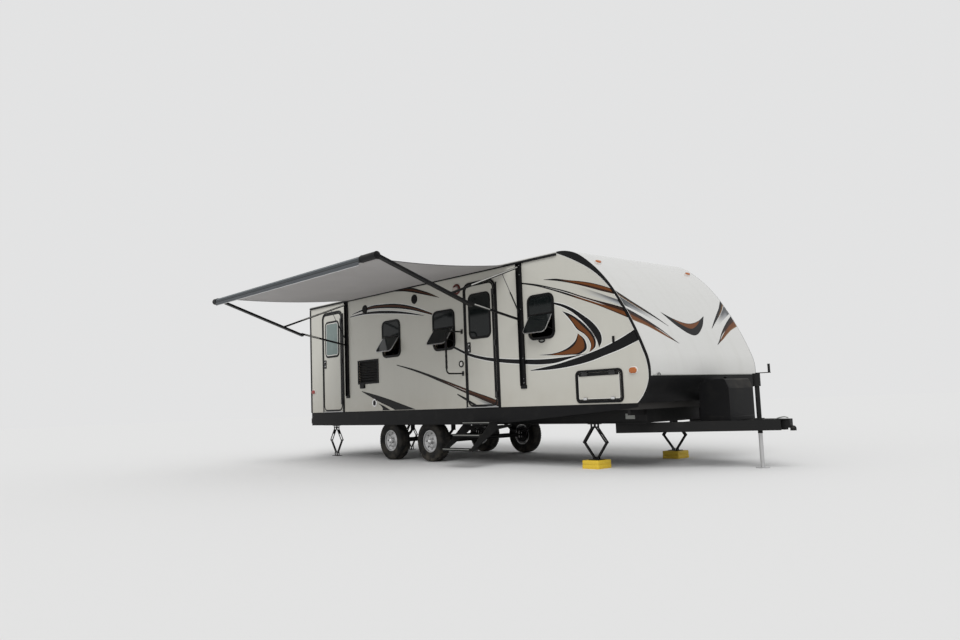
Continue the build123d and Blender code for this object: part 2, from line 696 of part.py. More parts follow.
def make_rim(x, side):
    """Steel rim: barrel, dished disc with eight holes, and a closed hub."""
    seat = RIM_WIDTH / 2
    edges = Polyline(
        (RIM_RADIUS, -seat), (RIM_RADIUS, seat), (RIM_RADIUS - 10, seat), (RIM_RADIUS - 16, seat - 25),
        (RIM_RADIUS - 40, seat - 35), (118, 38), (86, 56), (44, 52), (44, 92), (30, 98), (0.5, 98),
        (0.5, 70), (HUB_BORE, 70), (HUB_BORE, -62), (60, -62), (60, 20), (80, 40), (112, 22),
        (RIM_RADIUS - 48, seat - 50), (RIM_RADIUS - 16, seat - 50), (RIM_RADIUS - 12, -seat), close=True)
    body = revolve(make_face(edges), axis=Axis.Y)
    core = Pos(0, 84, 0) * Rot(90, 0, 0) * Cylinder(2, 28)
    body = body + core
    for i in range(8):
        turn = Rot(0, 45 * i, 0)
        body = body - turn * Pos(132, 40, 0) * Rot(90, 0, 0) * Cylinder(13, 90)
    if side < 0:
        body = mirrored(body)
    return Pos(x, side * TRACK_Y, TYRE_RADIUS) * body


def make_axles():
    """Axle tubes with spindles, leaf springs and their hangers."""
    pieces = []
    for name, x in AXLE_XS:
        inside = TRACK_Y - 75
        axle = rod((x, -inside, TYRE_RADIUS), (x, inside, TYRE_RADIUS), AXLE_TUBE)
        axle = axle + rod((x, -inside - 135, TYRE_RADIUS), (x, inside + 135, TYRE_RADIUS), SPINDLE)
        for y in (-RAIL_Y, RAIL_Y):
            low = TYRE_RADIUS + AXLE_TUBE - 6
            eye = RAIL_BOTTOM - 70
            arc = ThreePointArc((x - SPRING_HALF, eye), (x, low), (x + SPRING_HALF, eye))
            back = ThreePointArc((x + SPRING_HALF, eye + 14), (x, low + 44), (x - SPRING_HALF, eye + 14))
            ends = [Line(arc @ 1, back @ 0), Line(back @ 1, arc @ 0)]
            face = make_face(Curve() + [arc, back] + ends)
            plane = Plane(origin=(0, y + 22, 0), x_dir=(1, 0, 0), z_dir=(0, -1, 0))
            axle = axle + extrude(plane * face, amount=44)
            for end in (x - SPRING_HALF, x + SPRING_HALF):
                axle = axle + block(end - 24, end + 24, y - 28, y + 28, eye - 18, RAIL_BOTTOM)
        pieces.append(axle)
    return loose(pieces)


# Scissor jacks

def stab_knee(arm, foot_z):
    """Half-width of the knees and their height for an arm length and a foot height."""
    drop = (STAB_PIVOT_Z - foot_z) / 2
    return sqrt(arm * arm - drop * drop), STAB_PIVOT_Z - drop


def stab_swing(arm, foot_z):
    """Degrees that each arm turns from the rest pose to the folded one."""
    drop = (STAB_PIVOT_Z - foot_z) / 2
    return round(degrees(asin(drop / arm)) - STAB_FOLDED_ANGLE, 3)


def stab_bar(x0, z0, x1, z1, lane, web_stop):
    """A pair of flat links at a lane's offset either side of a jack's centre, with a web between."""
    length = hypot(x1 - x0, z1 - z0)
    plane = Plane(origin=(x0, 0, z0), x_dir=(x1 - x0, 0, z1 - z0), z_dir=(0, -1, 0))
    strip = Pos(length / 2, 0) * SlotCenterToCenter(length, 26)
    bars = []
    for y_low in (lane, -lane - 4):
        moved = Plane(origin=plane.origin + Vector(0, -y_low, 0), x_dir=plane.x_dir, z_dir=plane.z_dir)
        bars.append(extrude(moved * strip, amount=4))
    low = (Align.MIN, Align.CENTER, Align.CENTER)
    web = plane.location * Pos(45, 0, 0) * Box(length - 45 - web_stop, 6, 2 * lane + 8, align=low)
    return joined(bars + [web])


def both_sides(build):
    """Two like pieces, one on each side of the body."""
    return loose([Pos(0, side * STAB_Y, 0) * build for side in (-1, 1)])


def make_stab_upper(x, foot_z, arm, way):
    """Upper arm of a jack, from the top bracket out to the knee."""
    half, knee_z = stab_knee(arm, foot_z)
    start, end = x + way * STAB_HALF_GAP, x + way * (STAB_HALF_GAP + half)
    bar = stab_bar(start, STAB_PIVOT_Z, end, knee_z, 20, 145)
    pin = rod((end, -24, knee_z), (end, 24, knee_z), STAB_PIN)
    hole = rod((start, -30, STAB_PIVOT_Z), (start, 30, STAB_PIVOT_Z), STAB_BORE)
    return both_sides(bar - hole + pin)


def make_stab_lower(x, foot_z, arm, way):
    """Lower arm of a jack, from the knee in to the foot."""
    half, knee_z = stab_knee(arm, foot_z)
    start, end = x + way * (STAB_HALF_GAP + half), x + way * STAB_HALF_GAP
    bar = stab_bar(start, knee_z, end, foot_z, 10, 45)
    bore = rod((start, -30, knee_z), (start, 30, knee_z), STAB_BORE)
    hole = rod((end, -30, foot_z), (end, 30, foot_z), STAB_BORE)
    return both_sides(bar - bore - hole)


def make_stab_foot(x, foot_z, block_top):
    """Foot plate with the two lower pivot pins."""
    bottom = block_top + STAB_FOOT_CLEAR
    plate = block(x - 90, x + 90, -60, 60, bottom, bottom + STAB_FOOT_THICK)
    pieces = [plate]
    for way in (-1, 1):
        px = x + way * STAB_HALF_GAP
        for y in (-26, 20):
            pieces.append(block(px - 12, px + 12, y, y + 6, bottom + 2, foot_z + 10))
        pieces.append(rod((px, -24, foot_z), (px, 24, foot_z), STAB_PIN))
    return both_sides(joined(pieces))


def make_stab_brackets():
    """Top brackets of the jacks, welded under the rails, with the upper pivot pins."""
    pieces = []
    for name, x, foot_z, arm, block_top in STABILISERS:
        bracket = block(x - 90, x + 90, -38, 38, RAIL_BOTTOM - 8, RAIL_BOTTOM)
        for way in (-1, 1):
            px = x + way * STAB_HALF_GAP
            for y in (-36, 30):
                bracket = bracket + block(px - 14, px + 14, y, y + 6, STAB_PIVOT_Z - 14, RAIL_BOTTOM - 4)
            bracket = bracket + rod((px, -34, STAB_PIVOT_Z), (px, 34, STAB_PIVOT_Z), STAB_PIN)
        pieces.append(both_sides(bracket))
    return loose(pieces)


def make_leveling_blocks():
    """Blocks under the front jacks' feet."""
    name, x, foot_z, arm, block_top = STABILISERS[0]
    return both_sides(block(x - 140, x + 140, -140, 140, 0, block_top))


# Awning

def arm_plane(xc, start, end):
    """Frame of a bar in an arm set's plane: x along it, y across it, z to its outer side."""
    start3 = Vector(xc, -start[0], start[1])
    along = Vector(0, -(end[0] - start[0]), end[1] - start[1]).normalized()
    outward = Vector(0, -along.Z, along.Y)
    return Plane(origin=start3, x_dir=along, z_dir=outward)


def awning_points():
    """Rest positions of the awning's pivots, with the closure of the folded four-bar."""
    low = (PIVOT_Y, LOWER_PIVOT_Z)
    high = (PIVOT_Y, UPPER_PIVOT_Z)
    lower = hypot(ELBOW[0] - low[0], ELBOW[1] - low[1])
    arm = hypot(ARM_TIP[0] - ELBOW[0], ARM_TIP[1] - ELBOW[1])
    uy, uz = (ARM_TIP[0] - ELBOW[0]) / arm, (ARM_TIP[1] - ELBOW[1]) / arm
    stack = high[1] - low[1] + lower
    dy, dz = ELBOW[0] - high[0], ELBOW[1] - high[1]
    reach = (stack * stack - dy * dy - dz * dz) / (2 * (dy * uy + dz * uz + stack))
    joint = (ELBOW[0] + reach * uy, ELBOW[1] + reach * uz)
    upper = hypot(joint[0] - high[0], joint[1] - high[1])
    roller = (ARM_TIP[0] + ROLLER_OFFSET * uz, ARM_TIP[1] - ROLLER_OFFSET * uy)
    share = STRUT_ON_BAR / upper
    strut = (high[0] + share * (joint[0] - high[0]), high[1] + share * (joint[1] - high[1]))
    return {"low": low, "high": high, "lower": lower, "arm": arm, "reach": reach, "joint": joint,
            "upper": upper, "roller": roller, "strut": strut, "strut_low": (PIVOT_Y, STRUT_PIVOT_Z)}


AWNING = awning_points()


def heading(start, end):
    """Direction from one pivot to another in degrees, as seen along +X."""
    return degrees(atan2(end[1] - start[1], start[0] - end[0])) % 360


def awning_fold():
    """Turns and slide from the open awning to the folded one, each about +X against its parent."""
    a = AWNING
    lower = 270 - heading(a["low"], ELBOW)
    arm = 90 - heading(ELBOW, ARM_TIP)
    upper = 270 - heading(a["high"], a["joint"])
    strut = 90 - heading(a["strut_low"], a["strut"])
    open_length = hypot(a["strut"][0] - a["strut_low"][0], a["strut"][1] - a["strut_low"][1])
    folded_length = UPPER_PIVOT_Z - STRUT_ON_BAR - STRUT_PIVOT_Z
    return {"lower": round(lower, 3), "outer": arm - lower, "upper": upper, "roller": -arm,
            "strut": strut, "rod": folded_length - open_length}


def inner_bar(xc, start, end, way):
    """Flat bar with round ends in one of the two lanes inside the channel."""
    plane = arm_plane(xc, start, end)
    length = hypot(end[0] - start[0], end[1] - start[1])
    low, high = BAR_LANE
    y_low = -high if way > 0 else low
    flat = Plane(origin=plane.origin + plane.y_dir * y_low, x_dir=plane.x_dir, z_dir=plane.y_dir)
    strip = Pos(length / 2, 0) * SlotCenterToCenter(length, 2 * BAR_HALF_DEPTH)
    bar = extrude(flat * strip, amount=high - low)
    return bar - cross_pin(xc, start, PIVOT_BORE)


def cross_pin(xc, point, radius, half=60):
    """A pin along X through a pivot of an arm set."""
    y, z = point
    return rod((xc - half, -y, z), (xc + half, -y, z), radius)


def make_awning_channels():
    """Wall channels of the two arm sets, each with a stub pin for either bar and for the strut."""
    pieces = []
    for xc in CHANNEL_XS:
        half, thick = CHANNEL_HALF, CHANNEL_WALL
        back = block(xc - half, xc + half, -HALF_WIDTH, -HALF_WIDTH - thick, CHANNEL_BOTTOM, CHANNEL_TOP)
        channel = back
        for x0 in (xc - half, xc + half - thick):
            wall = block(x0, x0 + thick, -HALF_WIDTH, -HALF_WIDTH - CHANNEL_DEPTH, CHANNEL_BOTTOM, CHANNEL_TOP)
            channel = channel + wall
        for pivot, way, radius in (("low", -1, PIVOT_PIN), ("high", 1, PIVOT_PIN), ("strut_low", -1, STRUT_PIN)):
            y, z = AWNING[pivot]
            start, end = xc + way * (half - 1), xc + way * (BAR_LANE[0] - 2)
            channel = channel + rod((start, -y, z), (end, -y, z), radius)
        pieces.append(channel)
    return loose(pieces)


def make_awning_lower_bars():
    """Lower bars, from the wall channels out to the elbows."""
    bars = []
    for xc in CHANNEL_XS:
        bars.append(inner_bar(xc, AWNING["low"], ELBOW, -1) - cross_pin(xc, ELBOW, PIVOT_BORE))
    return loose(bars)


def make_awning_upper_bars():
    """Upper bars, from the tops of the channels to the joints on the outer arms."""
    return loose([inner_bar(xc, AWNING["high"], AWNING["joint"], 1) for xc in CHANNEL_XS])


def make_awning_outer_arms():
    """Channel-shaped outer arms with centre ears at both pivots and heads round the roller."""
    pieces = []
    for index, xc in enumerate(CHANNEL_XS):
        plane = arm_plane(xc, ELBOW, ARM_TIP)
        length = AWNING["arm"]
        low = (Align.MIN, Align.CENTER, Align.MIN)
        start = -18
        section = Box(length - start, 2 * ARM_HALF, ARM_OUTSIDE - ARM_INSIDE, align=low)
        hollow = Box(length - start + 2, 2 * (ARM_HALF - ARM_WALL), ARM_OUTSIDE - ARM_INSIDE, align=low)
        body = Pos(start, 0, ARM_INSIDE) * section - Pos(start - 1, 0, ARM_INSIDE - ARM_WALL) * hollow
        for s in (0, AWNING["reach"]):
            ear = Pos(s, 0, 0) * Box(30, 2 * EAR_HALF, ARM_OUTSIDE + 12, align=(Align.CENTER, Align.CENTER, Align.MIN))
            body = body + Pos(0, 0, -12) * ear
        pin = rod((xc - BAR_LANE[1], -ELBOW[0], ELBOW[1]), (xc + EAR_HALF, -ELBOW[0], ELBOW[1]), PIVOT_PIN)
        arm = plane.location * body + pin
        y, z = AWNING["roller"]
        back, front = HEAD_SPANS[index]
        head = rod((xc + back, -y, z), (xc + front, -y, z), HEAD_RADIUS)
        pieces.append(arm + head)
    return loose(pieces)


def roller_span():
    """Ends of the roller between the two arm heads."""
    rear = CHANNEL_XS[1] + HEAD_SPANS[1][1] + 2
    front = CHANNEL_XS[0] + HEAD_SPANS[0][0] - 2
    return rear, front


def make_awning_roller():
    """Roller tube with the hanging valance."""
    rear, front = roller_span()
    y, z = AWNING["roller"]
    tube = rod((rear, -y, z), (front, -y, z), ROLLER_RADIUS)
    out = y + ROLLER_RADIUS
    valance = block(rear + 10, front - 10, -out - 4, -out + 3, z - VALANCE_BELOW, z + VALANCE_ABOVE)
    return tube + valance


def make_awning_fabric():
    """Roof sheet from the wall rail to the roller, with a slight sag."""
    rear, front = roller_span()
    y, z = AWNING["roller"]
    inner = (-(HALF_WIDTH + GUTTER_DEEP), (GUTTER_Z[0] + GUTTER_Z[1]) / 2)
    outer = (-(y - 12), z + ROLLER_RADIUS + 1)
    middle = ((inner[0] + outer[0]) / 2, (inner[1] + outer[1]) / 2 - FABRIC_SAG)
    under = ThreePointArc(inner, middle, outer)
    lift = FABRIC_THICK
    over = ThreePointArc((outer[0], outer[1] + lift), (middle[0], middle[1] + lift), (inner[0], inner[1] + lift))
    ends = [Line(under @ 1, over @ 0), Line(over @ 1, under @ 0)]
    plane = Plane(origin=(rear + 10, 0, 0), x_dir=(0, 1, 0), z_dir=(1, 0, 0))
    return extrude(plane * make_face(Curve() + [under, over] + ends), amount=front - rear - 20)


def strut_eye(x, point, bore):
    """Round eye of a strut, with its hole along X."""
    y, z = point
    half = STRUT_EYE_HALF
    eye = rod((x - half, -y, z), (x + half, -y, z), STRUT_EYE)
    return eye - rod((x - half - 1, -y, z), (x + half + 1, -y, z), bore)


def make_strut_tubes():
    """Gas strut cylinders, hinged in the wall channels on an eye."""
    low = (Align.CENTER, Align.CENTER, Align.MIN)
    pieces = []
    for xc in CHANNEL_XS:
        x = xc - sum(BAR_LANE) / 2
        plane = arm_plane(x, AWNING["strut_low"], AWNING["strut"])
        along = Plane(origin=plane.origin, z_dir=plane.x_dir)
        near = STRUT_EYE - 2
        tube = along.location * Pos(0, 0, near) * Cylinder(STRUT_TUBE_RADIUS, STRUT_TUBE_LENGTH - near, align=low)
        bore = along.location * Pos(0, 0, STRUT_FLOOR) * Cylinder(STRUT_BORE, STRUT_TUBE_LENGTH, align=low)
        pieces.append(tube + strut_eye(x, AWNING["strut_low"], STRUT_PIN_BORE) - bore)
    return loose(pieces)


def make_strut_rods():
    """Gas strut rods, each ending in an eye with the pin that bears on the upper bar."""
    pieces = []
    y0, z0 = AWNING["strut_low"]
    y1, z1 = AWNING["strut"]
    length = hypot(y1 - y0, z1 - z0)
    for xc in CHANNEL_XS:
        x = xc - sum(BAR_LANE) / 2
        share = (STRUT_TUBE_LENGTH - 8) / length
        start = (x, -(y0 + share * (y1 - y0)), z0 + share * (z1 - z0))
        shank = rod(start, (x, -y1, z1), STRUT_ROD_RADIUS)
        eye = rod((x - STRUT_EYE_HALF, -y1, z1), (x + STRUT_EYE_HALF, -y1, z1), STRUT_EYE - 2)
        pin = rod((x, -y1, z1), (xc + BAR_LANE[0] - 0.5, -y1, z1), STRUT_PIN)
        pieces.append(shank + eye + pin)
    return loose(pieces)


# Fittings

def make_entry_steps():
    """Three treads on two stepped side plates under the front door."""
    name, rear, front = DOORS[0]
    middle = (rear + front) / 2
    treads = []
    for edge_y, top in STEP_TREADS:
        treads.append(block(middle - STEP_HALF, middle + STEP_HALF, -(edge_y - STEP_DEEP), -edge_y, top - 30, top))
    first_y, first_z = STEP_TREADS[0]
    last_y, last_z = STEP_TREADS[-1]
    inner_y = first_y - STEP_DEEP
    outline = Polyline(
        (-STEP_HANG_Y, RAIL_BOTTOM), (-inner_y, RAIL_BOTTOM), (-inner_y, first_z - 5), (-(first_y - 30), first_z - 5),
        (-(last_y - 20), last_z - 5), (-(last_y - 60), last_z - 35), (-(inner_y + 10), first_z - 110),
        (-STEP_HANG_Y, RAIL_BOTTOM - 30), close=True)
    for x in (middle - STEP_HALF, middle + STEP_HALF - 5):
        plane = Plane(origin=(x, 0, 0), x_dir=(0, 1, 0), z_dir=(1, 0, 0))
        treads.append(extrude(plane * make_face(outline), amount=5))
    return joined(treads)


def make_assist_handle():
    """Assist handle beside the front door, swung out."""
    x, low, high, out, radius = DOORS[0][1] - 65, 1383, 2030, HALF_WIDTH + 326, 12
    start = HALF_WIDTH
    path = FilletPolyline((x, -start, low), (x, -out, low), (x, -out, high), (x, -start, high), radius=60)
    section = Plane(origin=path @ 0, z_dir=path % 0) * Circle(radius)
    tube = sweep(section, path=path)
    for z in (low, high):
        tube = tube + block(x - 22, x + 22, -HALF_WIDTH - 8, -HALF_WIDTH, z - 35, z + 35)
    return tube


def make_roof_units():
    """Air conditioner with a tapered, rounded shroud, and three vent lids, all set on the roof's crown."""
    base = ROOF_EDGE + ROOF_CROWN - 14
    low = Pos(SHROUD_X, 0, base) * RectangleRounded(*SHROUD_LOW)
    high = Pos(SHROUD_X + SHROUD_HIGH_SHIFT, 0, base + SHROUD_TALL) * RectangleRounded(*SHROUD_HIGH)
    pieces = [loft([low, high])]
    for x, y, long, wide, tall in ROOF_LIDS:
        lid = block(x - long / 2, x + long / 2, y - wide / 2, y + wide / 2, base, base + tall)
        pieces.append(chamfer(lid.edges().group_by(Axis.Z)[-1], 18))
    roof = make_roof()
    return loose([piece - roof for piece in pieces])


def make_lamps():
    """Marker, clearance, porch and tail lamps."""
    pieces = []
    low = (Align.CENTER, Align.CENTER, Align.MIN)
    for side in (-1, 1):
        marker = side_plate(rounded(-1379, 1256, 90, 44, 20), HALF_WIDTH, HALF_WIDTH + 22)
        pieces.append(on_side(marker, side))
        rear_marker = side_plate(rounded(REAR_X + 100, 1256, 90, 44, 20), HALF_WIDTH, HALF_WIDTH + 22)
        pieces.append(on_side(rear_marker, side))
        inner, outer = HALF_WIDTH - 369, HALF_WIDTH - 89
        pieces.append(block(REAR_X - 30, REAR_X, side * inner, side * outer, 1000, 1150))
    for y in (-900, 0, 900):
        pieces.append(block(REAR_X - 24, REAR_X, y - 70, y + 70, 2800, 2840))
    porch_x = DOORS[0][1] - 153
    pieces.append(side_plate(rounded(porch_x, 2704, 120, 60, 20), HALF_WIDTH, HALF_WIDTH + 40))
    return loose(pieces)


def build_parts():
    """All nodes by name."""
    parts = {
        "chassis_rails": make_chassis_rails(),
        "cross_members": make_cross_members(),
        "drawbar_frame": make_drawbar_frame(),
        "coupler": make_coupler(),
        "drawbar_covers": make_drawbar_covers(),
        "tongue_jack_tube": make_tongue_jack_tube(),
        "tongue_jack_leg": make_tongue_jack_leg(),
        "front_cap": make_front_cap(),
        "rock_guard": make_rock_guard(),
        "curb_wall": make_wall(-1),
        "street_wall": make_wall(1),
        "rear_wall": make_rear_wall(),
        "roof": make_roof(),
        "floor": make_floor(),
        "corner_trim": make_corner_trim(),
        "side_skirts": make_skirts(),
        "rear_bumper": make_bumper(),
        "window_frames": make_window_frames(),
        "window_panes": make_window_panes(),
        "door_frames": make_door_frames(),
        "curb_baggage_door": make_baggage_door(-1),
        "street_baggage_door": make_baggage_door(1),
        "wall_vents": make_wall_vents(),
        "axles": make_axles(),
        "jack_brackets": make_stab_brackets(),
        "leveling_blocks": make_leveling_blocks(),
        "awning_channels": make_awning_channels(),
        "awning_lower_bars": make_awning_lower_bars(),
        "awning_upper_bars": make_awning_upper_bars(),
        "awning_outer_arms": make_awning_outer_arms(),
        "awning_roller": make_awning_roller(),
        "awning_fabric": make_awning_fabric(),
        "awning_strut_tubes": make_strut_tubes(),
        "awning_strut_rods": make_strut_rods(),
        "entry_steps": make_entry_steps(),
        "assist_handle": make_assist_handle(),
        "roof_units": make_roof_units(),
        "lamps": make_lamps(),
    }
    for name, rear, front in DOORS:
        parts[name + "_door"] = make_entry_door(rear, front)
        parts[name + "_door_glass"] = make_door_glass(rear, front)
    for name, x in AXLE_XS:
        for side, word in ((-1, "curb"), (1, "street")):
            parts[f"{name}_{word}_tyre"] = make_tyre(x, side)
            parts[f"{name}_{word}_rim"] = make_rim(x, side)
    for name, x, foot_z, arm, block_top in STABILISERS:
        for way, word in ((-1, "rear"), (1, "front")):
            parts[f"{name}_jacks_upper_{word}_arms"] = make_stab_upper(x, foot_z, arm, way)
            parts[f"{name}_jacks_lower_{word}_arms"] = make_stab_lower(x, foot_z, arm, way)
        parts[f"{name}_jacks_feet"] = make_stab_foot(x, foot_z, block_top)
    return parts


def main():
    """Write one STEP file for each node."""
    os.makedirs("parts", exist_ok=True)
    for name, piece in build_parts().items():
        lowered = Pos(0, 0, -BALL_HEIGHT) * piece
        export_step(lowered, f"parts/{name}.step")


if __name__ == "__main__":
    main()
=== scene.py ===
"""Looks of the travel caravan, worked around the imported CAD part.

Metres in the part's frame: X forward, Y to the street side, Z up, zero at the tow ball.
The ground lies at GROUND. The curb side, with doors and awning, has negative Y.
"""

import bmesh
import bpy
import json
import numpy as np
from mathutils import Matrix, Vector


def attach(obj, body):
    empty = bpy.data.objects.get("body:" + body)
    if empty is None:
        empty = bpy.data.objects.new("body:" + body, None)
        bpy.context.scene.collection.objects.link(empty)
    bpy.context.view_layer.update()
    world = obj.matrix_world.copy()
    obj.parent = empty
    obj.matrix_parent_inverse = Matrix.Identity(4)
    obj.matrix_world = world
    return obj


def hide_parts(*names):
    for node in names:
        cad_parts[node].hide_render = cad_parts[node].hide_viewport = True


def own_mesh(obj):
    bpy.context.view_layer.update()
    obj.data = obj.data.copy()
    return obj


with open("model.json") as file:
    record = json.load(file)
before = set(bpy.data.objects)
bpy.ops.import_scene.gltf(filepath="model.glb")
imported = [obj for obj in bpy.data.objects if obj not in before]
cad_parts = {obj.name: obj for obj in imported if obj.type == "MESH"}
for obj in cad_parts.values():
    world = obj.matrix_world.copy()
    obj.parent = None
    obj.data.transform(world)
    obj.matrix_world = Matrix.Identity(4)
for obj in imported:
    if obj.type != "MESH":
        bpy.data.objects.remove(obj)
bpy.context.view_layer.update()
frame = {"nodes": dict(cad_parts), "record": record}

# The ground, the side walls' face, the rear wall, and how far a door's leaf stands proud of its wall
GROUND = -0.48
SIDE = 1.219
REAR = -9.3
LEAF_PROUD = 0.008
SIDES = ((-1, "curb"), (1, "street"))

# Materials

# Inputs and output of a colour mix node
FACTOR, FIRST, SECOND, MIXED = 0, 6, 7, 2


def arithmetic(operation, backwards=False):
    """A method of Value that makes one maths node, its inputs swapped where backwards."""
    def method(self, other):
        inputs = (other, self) if backwards else (self, other)
        return node(self.tree, "ShaderNodeMath", {"operation": operation}, *inputs)
    return method


class Value:
    """A socket in a material's nodes that takes part in arithmetic."""

    __add__ = __radd__ = arithmetic("ADD")
    __sub__ = arithmetic("SUBTRACT")
    __rsub__ = arithmetic("SUBTRACT", backwards=True)
    __mul__ = __rmul__ = arithmetic("MULTIPLY")
    __gt__ = arithmetic("GREATER_THAN")
    __lt__ = arithmetic("LESS_THAN")

    def __init__(self, tree, socket):
        self.tree = tree
        self.socket = socket

    def clamped(self):
        """The number kept between 0 and 1."""
        return node(self.tree, "ShaderNodeMath", {"operation": "ADD", "use_clamp": True}, self, 0.0)

    def size(self):
        """The number without its sign."""
        return node(self.tree, "ShaderNodeMath", {"operation": "ABSOLUTE"}, self)

    def step(self, low, high):
        """Smooth rise from 0 at low to 1 at high."""
        return node(self.tree, "ShaderNodeMapRange", {"interpolation_type": "SMOOTHSTEP"}, self, low, high)

    def parts(self):
        """The three numbers of a vector."""
        made = self.tree.nodes.new("ShaderNodeSeparateXYZ")
        self.tree.links.new(self.socket, made.inputs[0])
        return [Value(self.tree, socket) for socket in made.outputs]


def node(tree, kind, settings, *inputs, out=0, **named):
    """One node of any kind: settings first, then its inputs in order or by name."""
    made = tree.nodes.new(kind)
    for key, value in settings.items():
        setattr(made, key, value)
    for key, value in list(enumerate(inputs)) + list(named.items()):
        if isinstance(value, Value):
            tree.links.new(value.socket, made.inputs[key])
        else:
            made.inputs[key].default_value = value
    return Value(tree, made.outputs[out])


def mix(factor, first, second):
    """Colour first at factor 0, second at 1."""
    made = factor.tree.nodes.new("ShaderNodeMix")
    made.data_type = "RGBA"
    for index, value in ((FACTOR, factor), (FIRST, first), (SECOND, second)):
        if isinstance(value, Value):
            factor.tree.links.new(value.socket, made.inputs[index])
        else:
            made.inputs[index].default_value = (*value, 1.0)
    return Value(factor.tree, made.outputs[MIXED])


def shade(colour, share):
    """A colour made darker or lighter by a share."""
    return tuple(part * share for part in colour)


class Place:
    """The point being shaded: where it lies on the piece in metres, and textures round it."""

    def __init__(self, tree):
        self.tree = tree
        self.point = node(tree, "ShaderNodeTexCoord", {}, out="Object")
        self.x, self.y, self.z = self.point.parts()

    def across(self):
        """The two parts of the piece's own UV map."""
        return node(self.tree, "ShaderNodeUVMap", {"uv_map": "UVMap"}).parts()[:2]

    def upward(self):
        """How far the surface faces the sky, 0 to 1."""
        return node(self.tree, "ShaderNodeNewGeometry", {}, out="Normal").parts()[2].clamped()

    def stretched(self, scale):
        """The point with each axis multiplied."""
        return node(self.tree, "ShaderNodeVectorMath", {"operation": "MULTIPLY"}, self.point, scale)

    def noise(self, scale, detail=3.0, along=None, rough=0.5):
        """Cloudy noise from 0 to 1, drawn out where along multiplies the axes unevenly."""
        point = self.stretched(along) if along else self.point
        return node(self.tree, "ShaderNodeTexNoise", {},
                    Vector=point, Scale=scale, Detail=detail, Roughness=rough)

    def waves(self, way, point, scale, distortion=0.0):
        """Even bands across one axis, from 0 to 1."""
        return node(self.tree, "ShaderNodeTexWave", {"wave_type": "BANDS", "bands_direction": way},
                    Vector=point, Scale=scale, Distortion=distortion)

    def threads(self):
        """Warp and weft of a woven cloth, from 0 to 1."""
        warp, weft = (self.waves(way, self.point, 260.0, 0.6) for way in "XY")
        return warp * 0.5 + weft * 0.5


def finish(name, recipe, constants=None):
    """Principled material of a recipe: colour, roughness and maybe a bump's height, strength and distance."""
    material = bpy.data.materials.new(f"{name}_finish")
    material.use_nodes = True
    tree = material.node_tree
    shader = tree.nodes["Principled BSDF"]
    for key, value in (constants or {}).items():
        shader.inputs[key].default_value = value
    colour, roughness, *bump = recipe(Place(tree))
    tree.links.new(colour.socket, shader.inputs["Base Color"])
    tree.links.new(roughness.socket, shader.inputs["Roughness"])
    if bump:
        height, strength, distance = bump
        made = node(tree, "ShaderNodeBump", {}, Strength=strength, Distance=distance, Height=height)
        tree.links.new(made.socket, shader.inputs["Normal"])
    return material


def siding(at):
    """Fibreglass skin: faint orange peel, rain streaks, dust near the skirt, and a plain lining inside."""
    streaks = at.noise(1.0, 4.0, (6.0, 6.0, 0.5))
    dust = (1.0 - at.z.step(0.37, 0.8)) * at.noise(6.0, 4.0)
    base = mix(streaks.step(0.5, 0.8) * 0.3, CREAM, shade(CREAM, 0.9))
    base = mix(at.noise(0.9, 2.0).step(0.4, 0.7) * 0.25, base, shade(CREAM, 1.05))
    base = mix(dust * 0.35, base, (0.36, 0.32, 0.25))
    inside = (at.y.size() < SIDE - 0.009) * (at.x > REAR + 0.005)
    base = mix(inside, base, (0.48, 0.41, 0.32))
    return base, 0.34 + streaks * 0.12 + dust * 0.2, at.noise(160.0, 2.0), 0.06, 0.001


def door_skin(at):
    """The siding's skin, with black ironmongery wherever something stands proud of the leaf."""
    base, *others = siding(at)
    hardware = at.y.size() > SIDE + LEAF_PROUD + 0.0006
    return mix(hardware, base, BLACK), *others


def gelcoat(at):
    """Moulded white cap: glossy, with slow waves, and a painted highlight that makes faces looking up
    lighter.
    """
    speck = at.noise(30.0, 4.0)
    streaks = at.noise(1.0, 4.0, (0.6, 8.0, 0.6))
    base = mix(speck.step(0.55, 0.8) * 0.2, (0.59, 0.59, 0.572), (0.53, 0.525, 0.5))
    base = mix(streaks.step(0.45, 0.75) * 0.25, base, (0.5, 0.495, 0.465))
    # Painted highlight: faces that look up are mixed towards a lighter white, as if lit from above.
    base = mix(at.upward() * 0.2, base, (0.68, 0.68, 0.67))
    return base, 0.2 + speck * 0.1, at.noise(1.4, 2.0), 0.08, 0.02


def dusty(colour, rough, grain=60.0, depth=0.12):
    """Dark plastic or paint whose upper faces carry dust, with a fine grain."""
    def recipe(at):
        fine = at.noise(grain)
        patches = at.noise(5.0, 4.0)
        cover = at.upward() * patches.step(0.35, 0.75) * 0.5 + patches.step(0.5, 0.8) * 0.06
        return mix(cover, colour, DUST), rough + fine * 0.14 + cover * 0.25, fine, depth, 0.001
    return recipe


def brushed(colour, rough, along=2):
    """Metal with fine scratches along one axis."""
    scale = [420.0, 420.0, 420.0]
    scale[along] = 5.0

    def recipe(at):
        lines = at.noise(1.0, 3.0, tuple(scale))
        worn = at.noise(7.0, 4.0)
        base = mix(worn.step(0.45, 0.75) * 0.4, colour, shade(colour, 0.7))
        return base, rough + lines * 0.16 + worn * 0.1, lines, 0.05, 0.0005
    return recipe


def plain(colour, rough, grain=40.0, second=None):
    """A clean moulded colour with light mottling towards a second one."""
    def recipe(at):
        mottle = at.noise(grain)
        base = mix(mottle.step(0.4, 0.8) * 0.5, colour, second or shade(colour, 0.8))
        return base, rough + mottle * 0.12, mottle, 0.05, 0.001
    return recipe


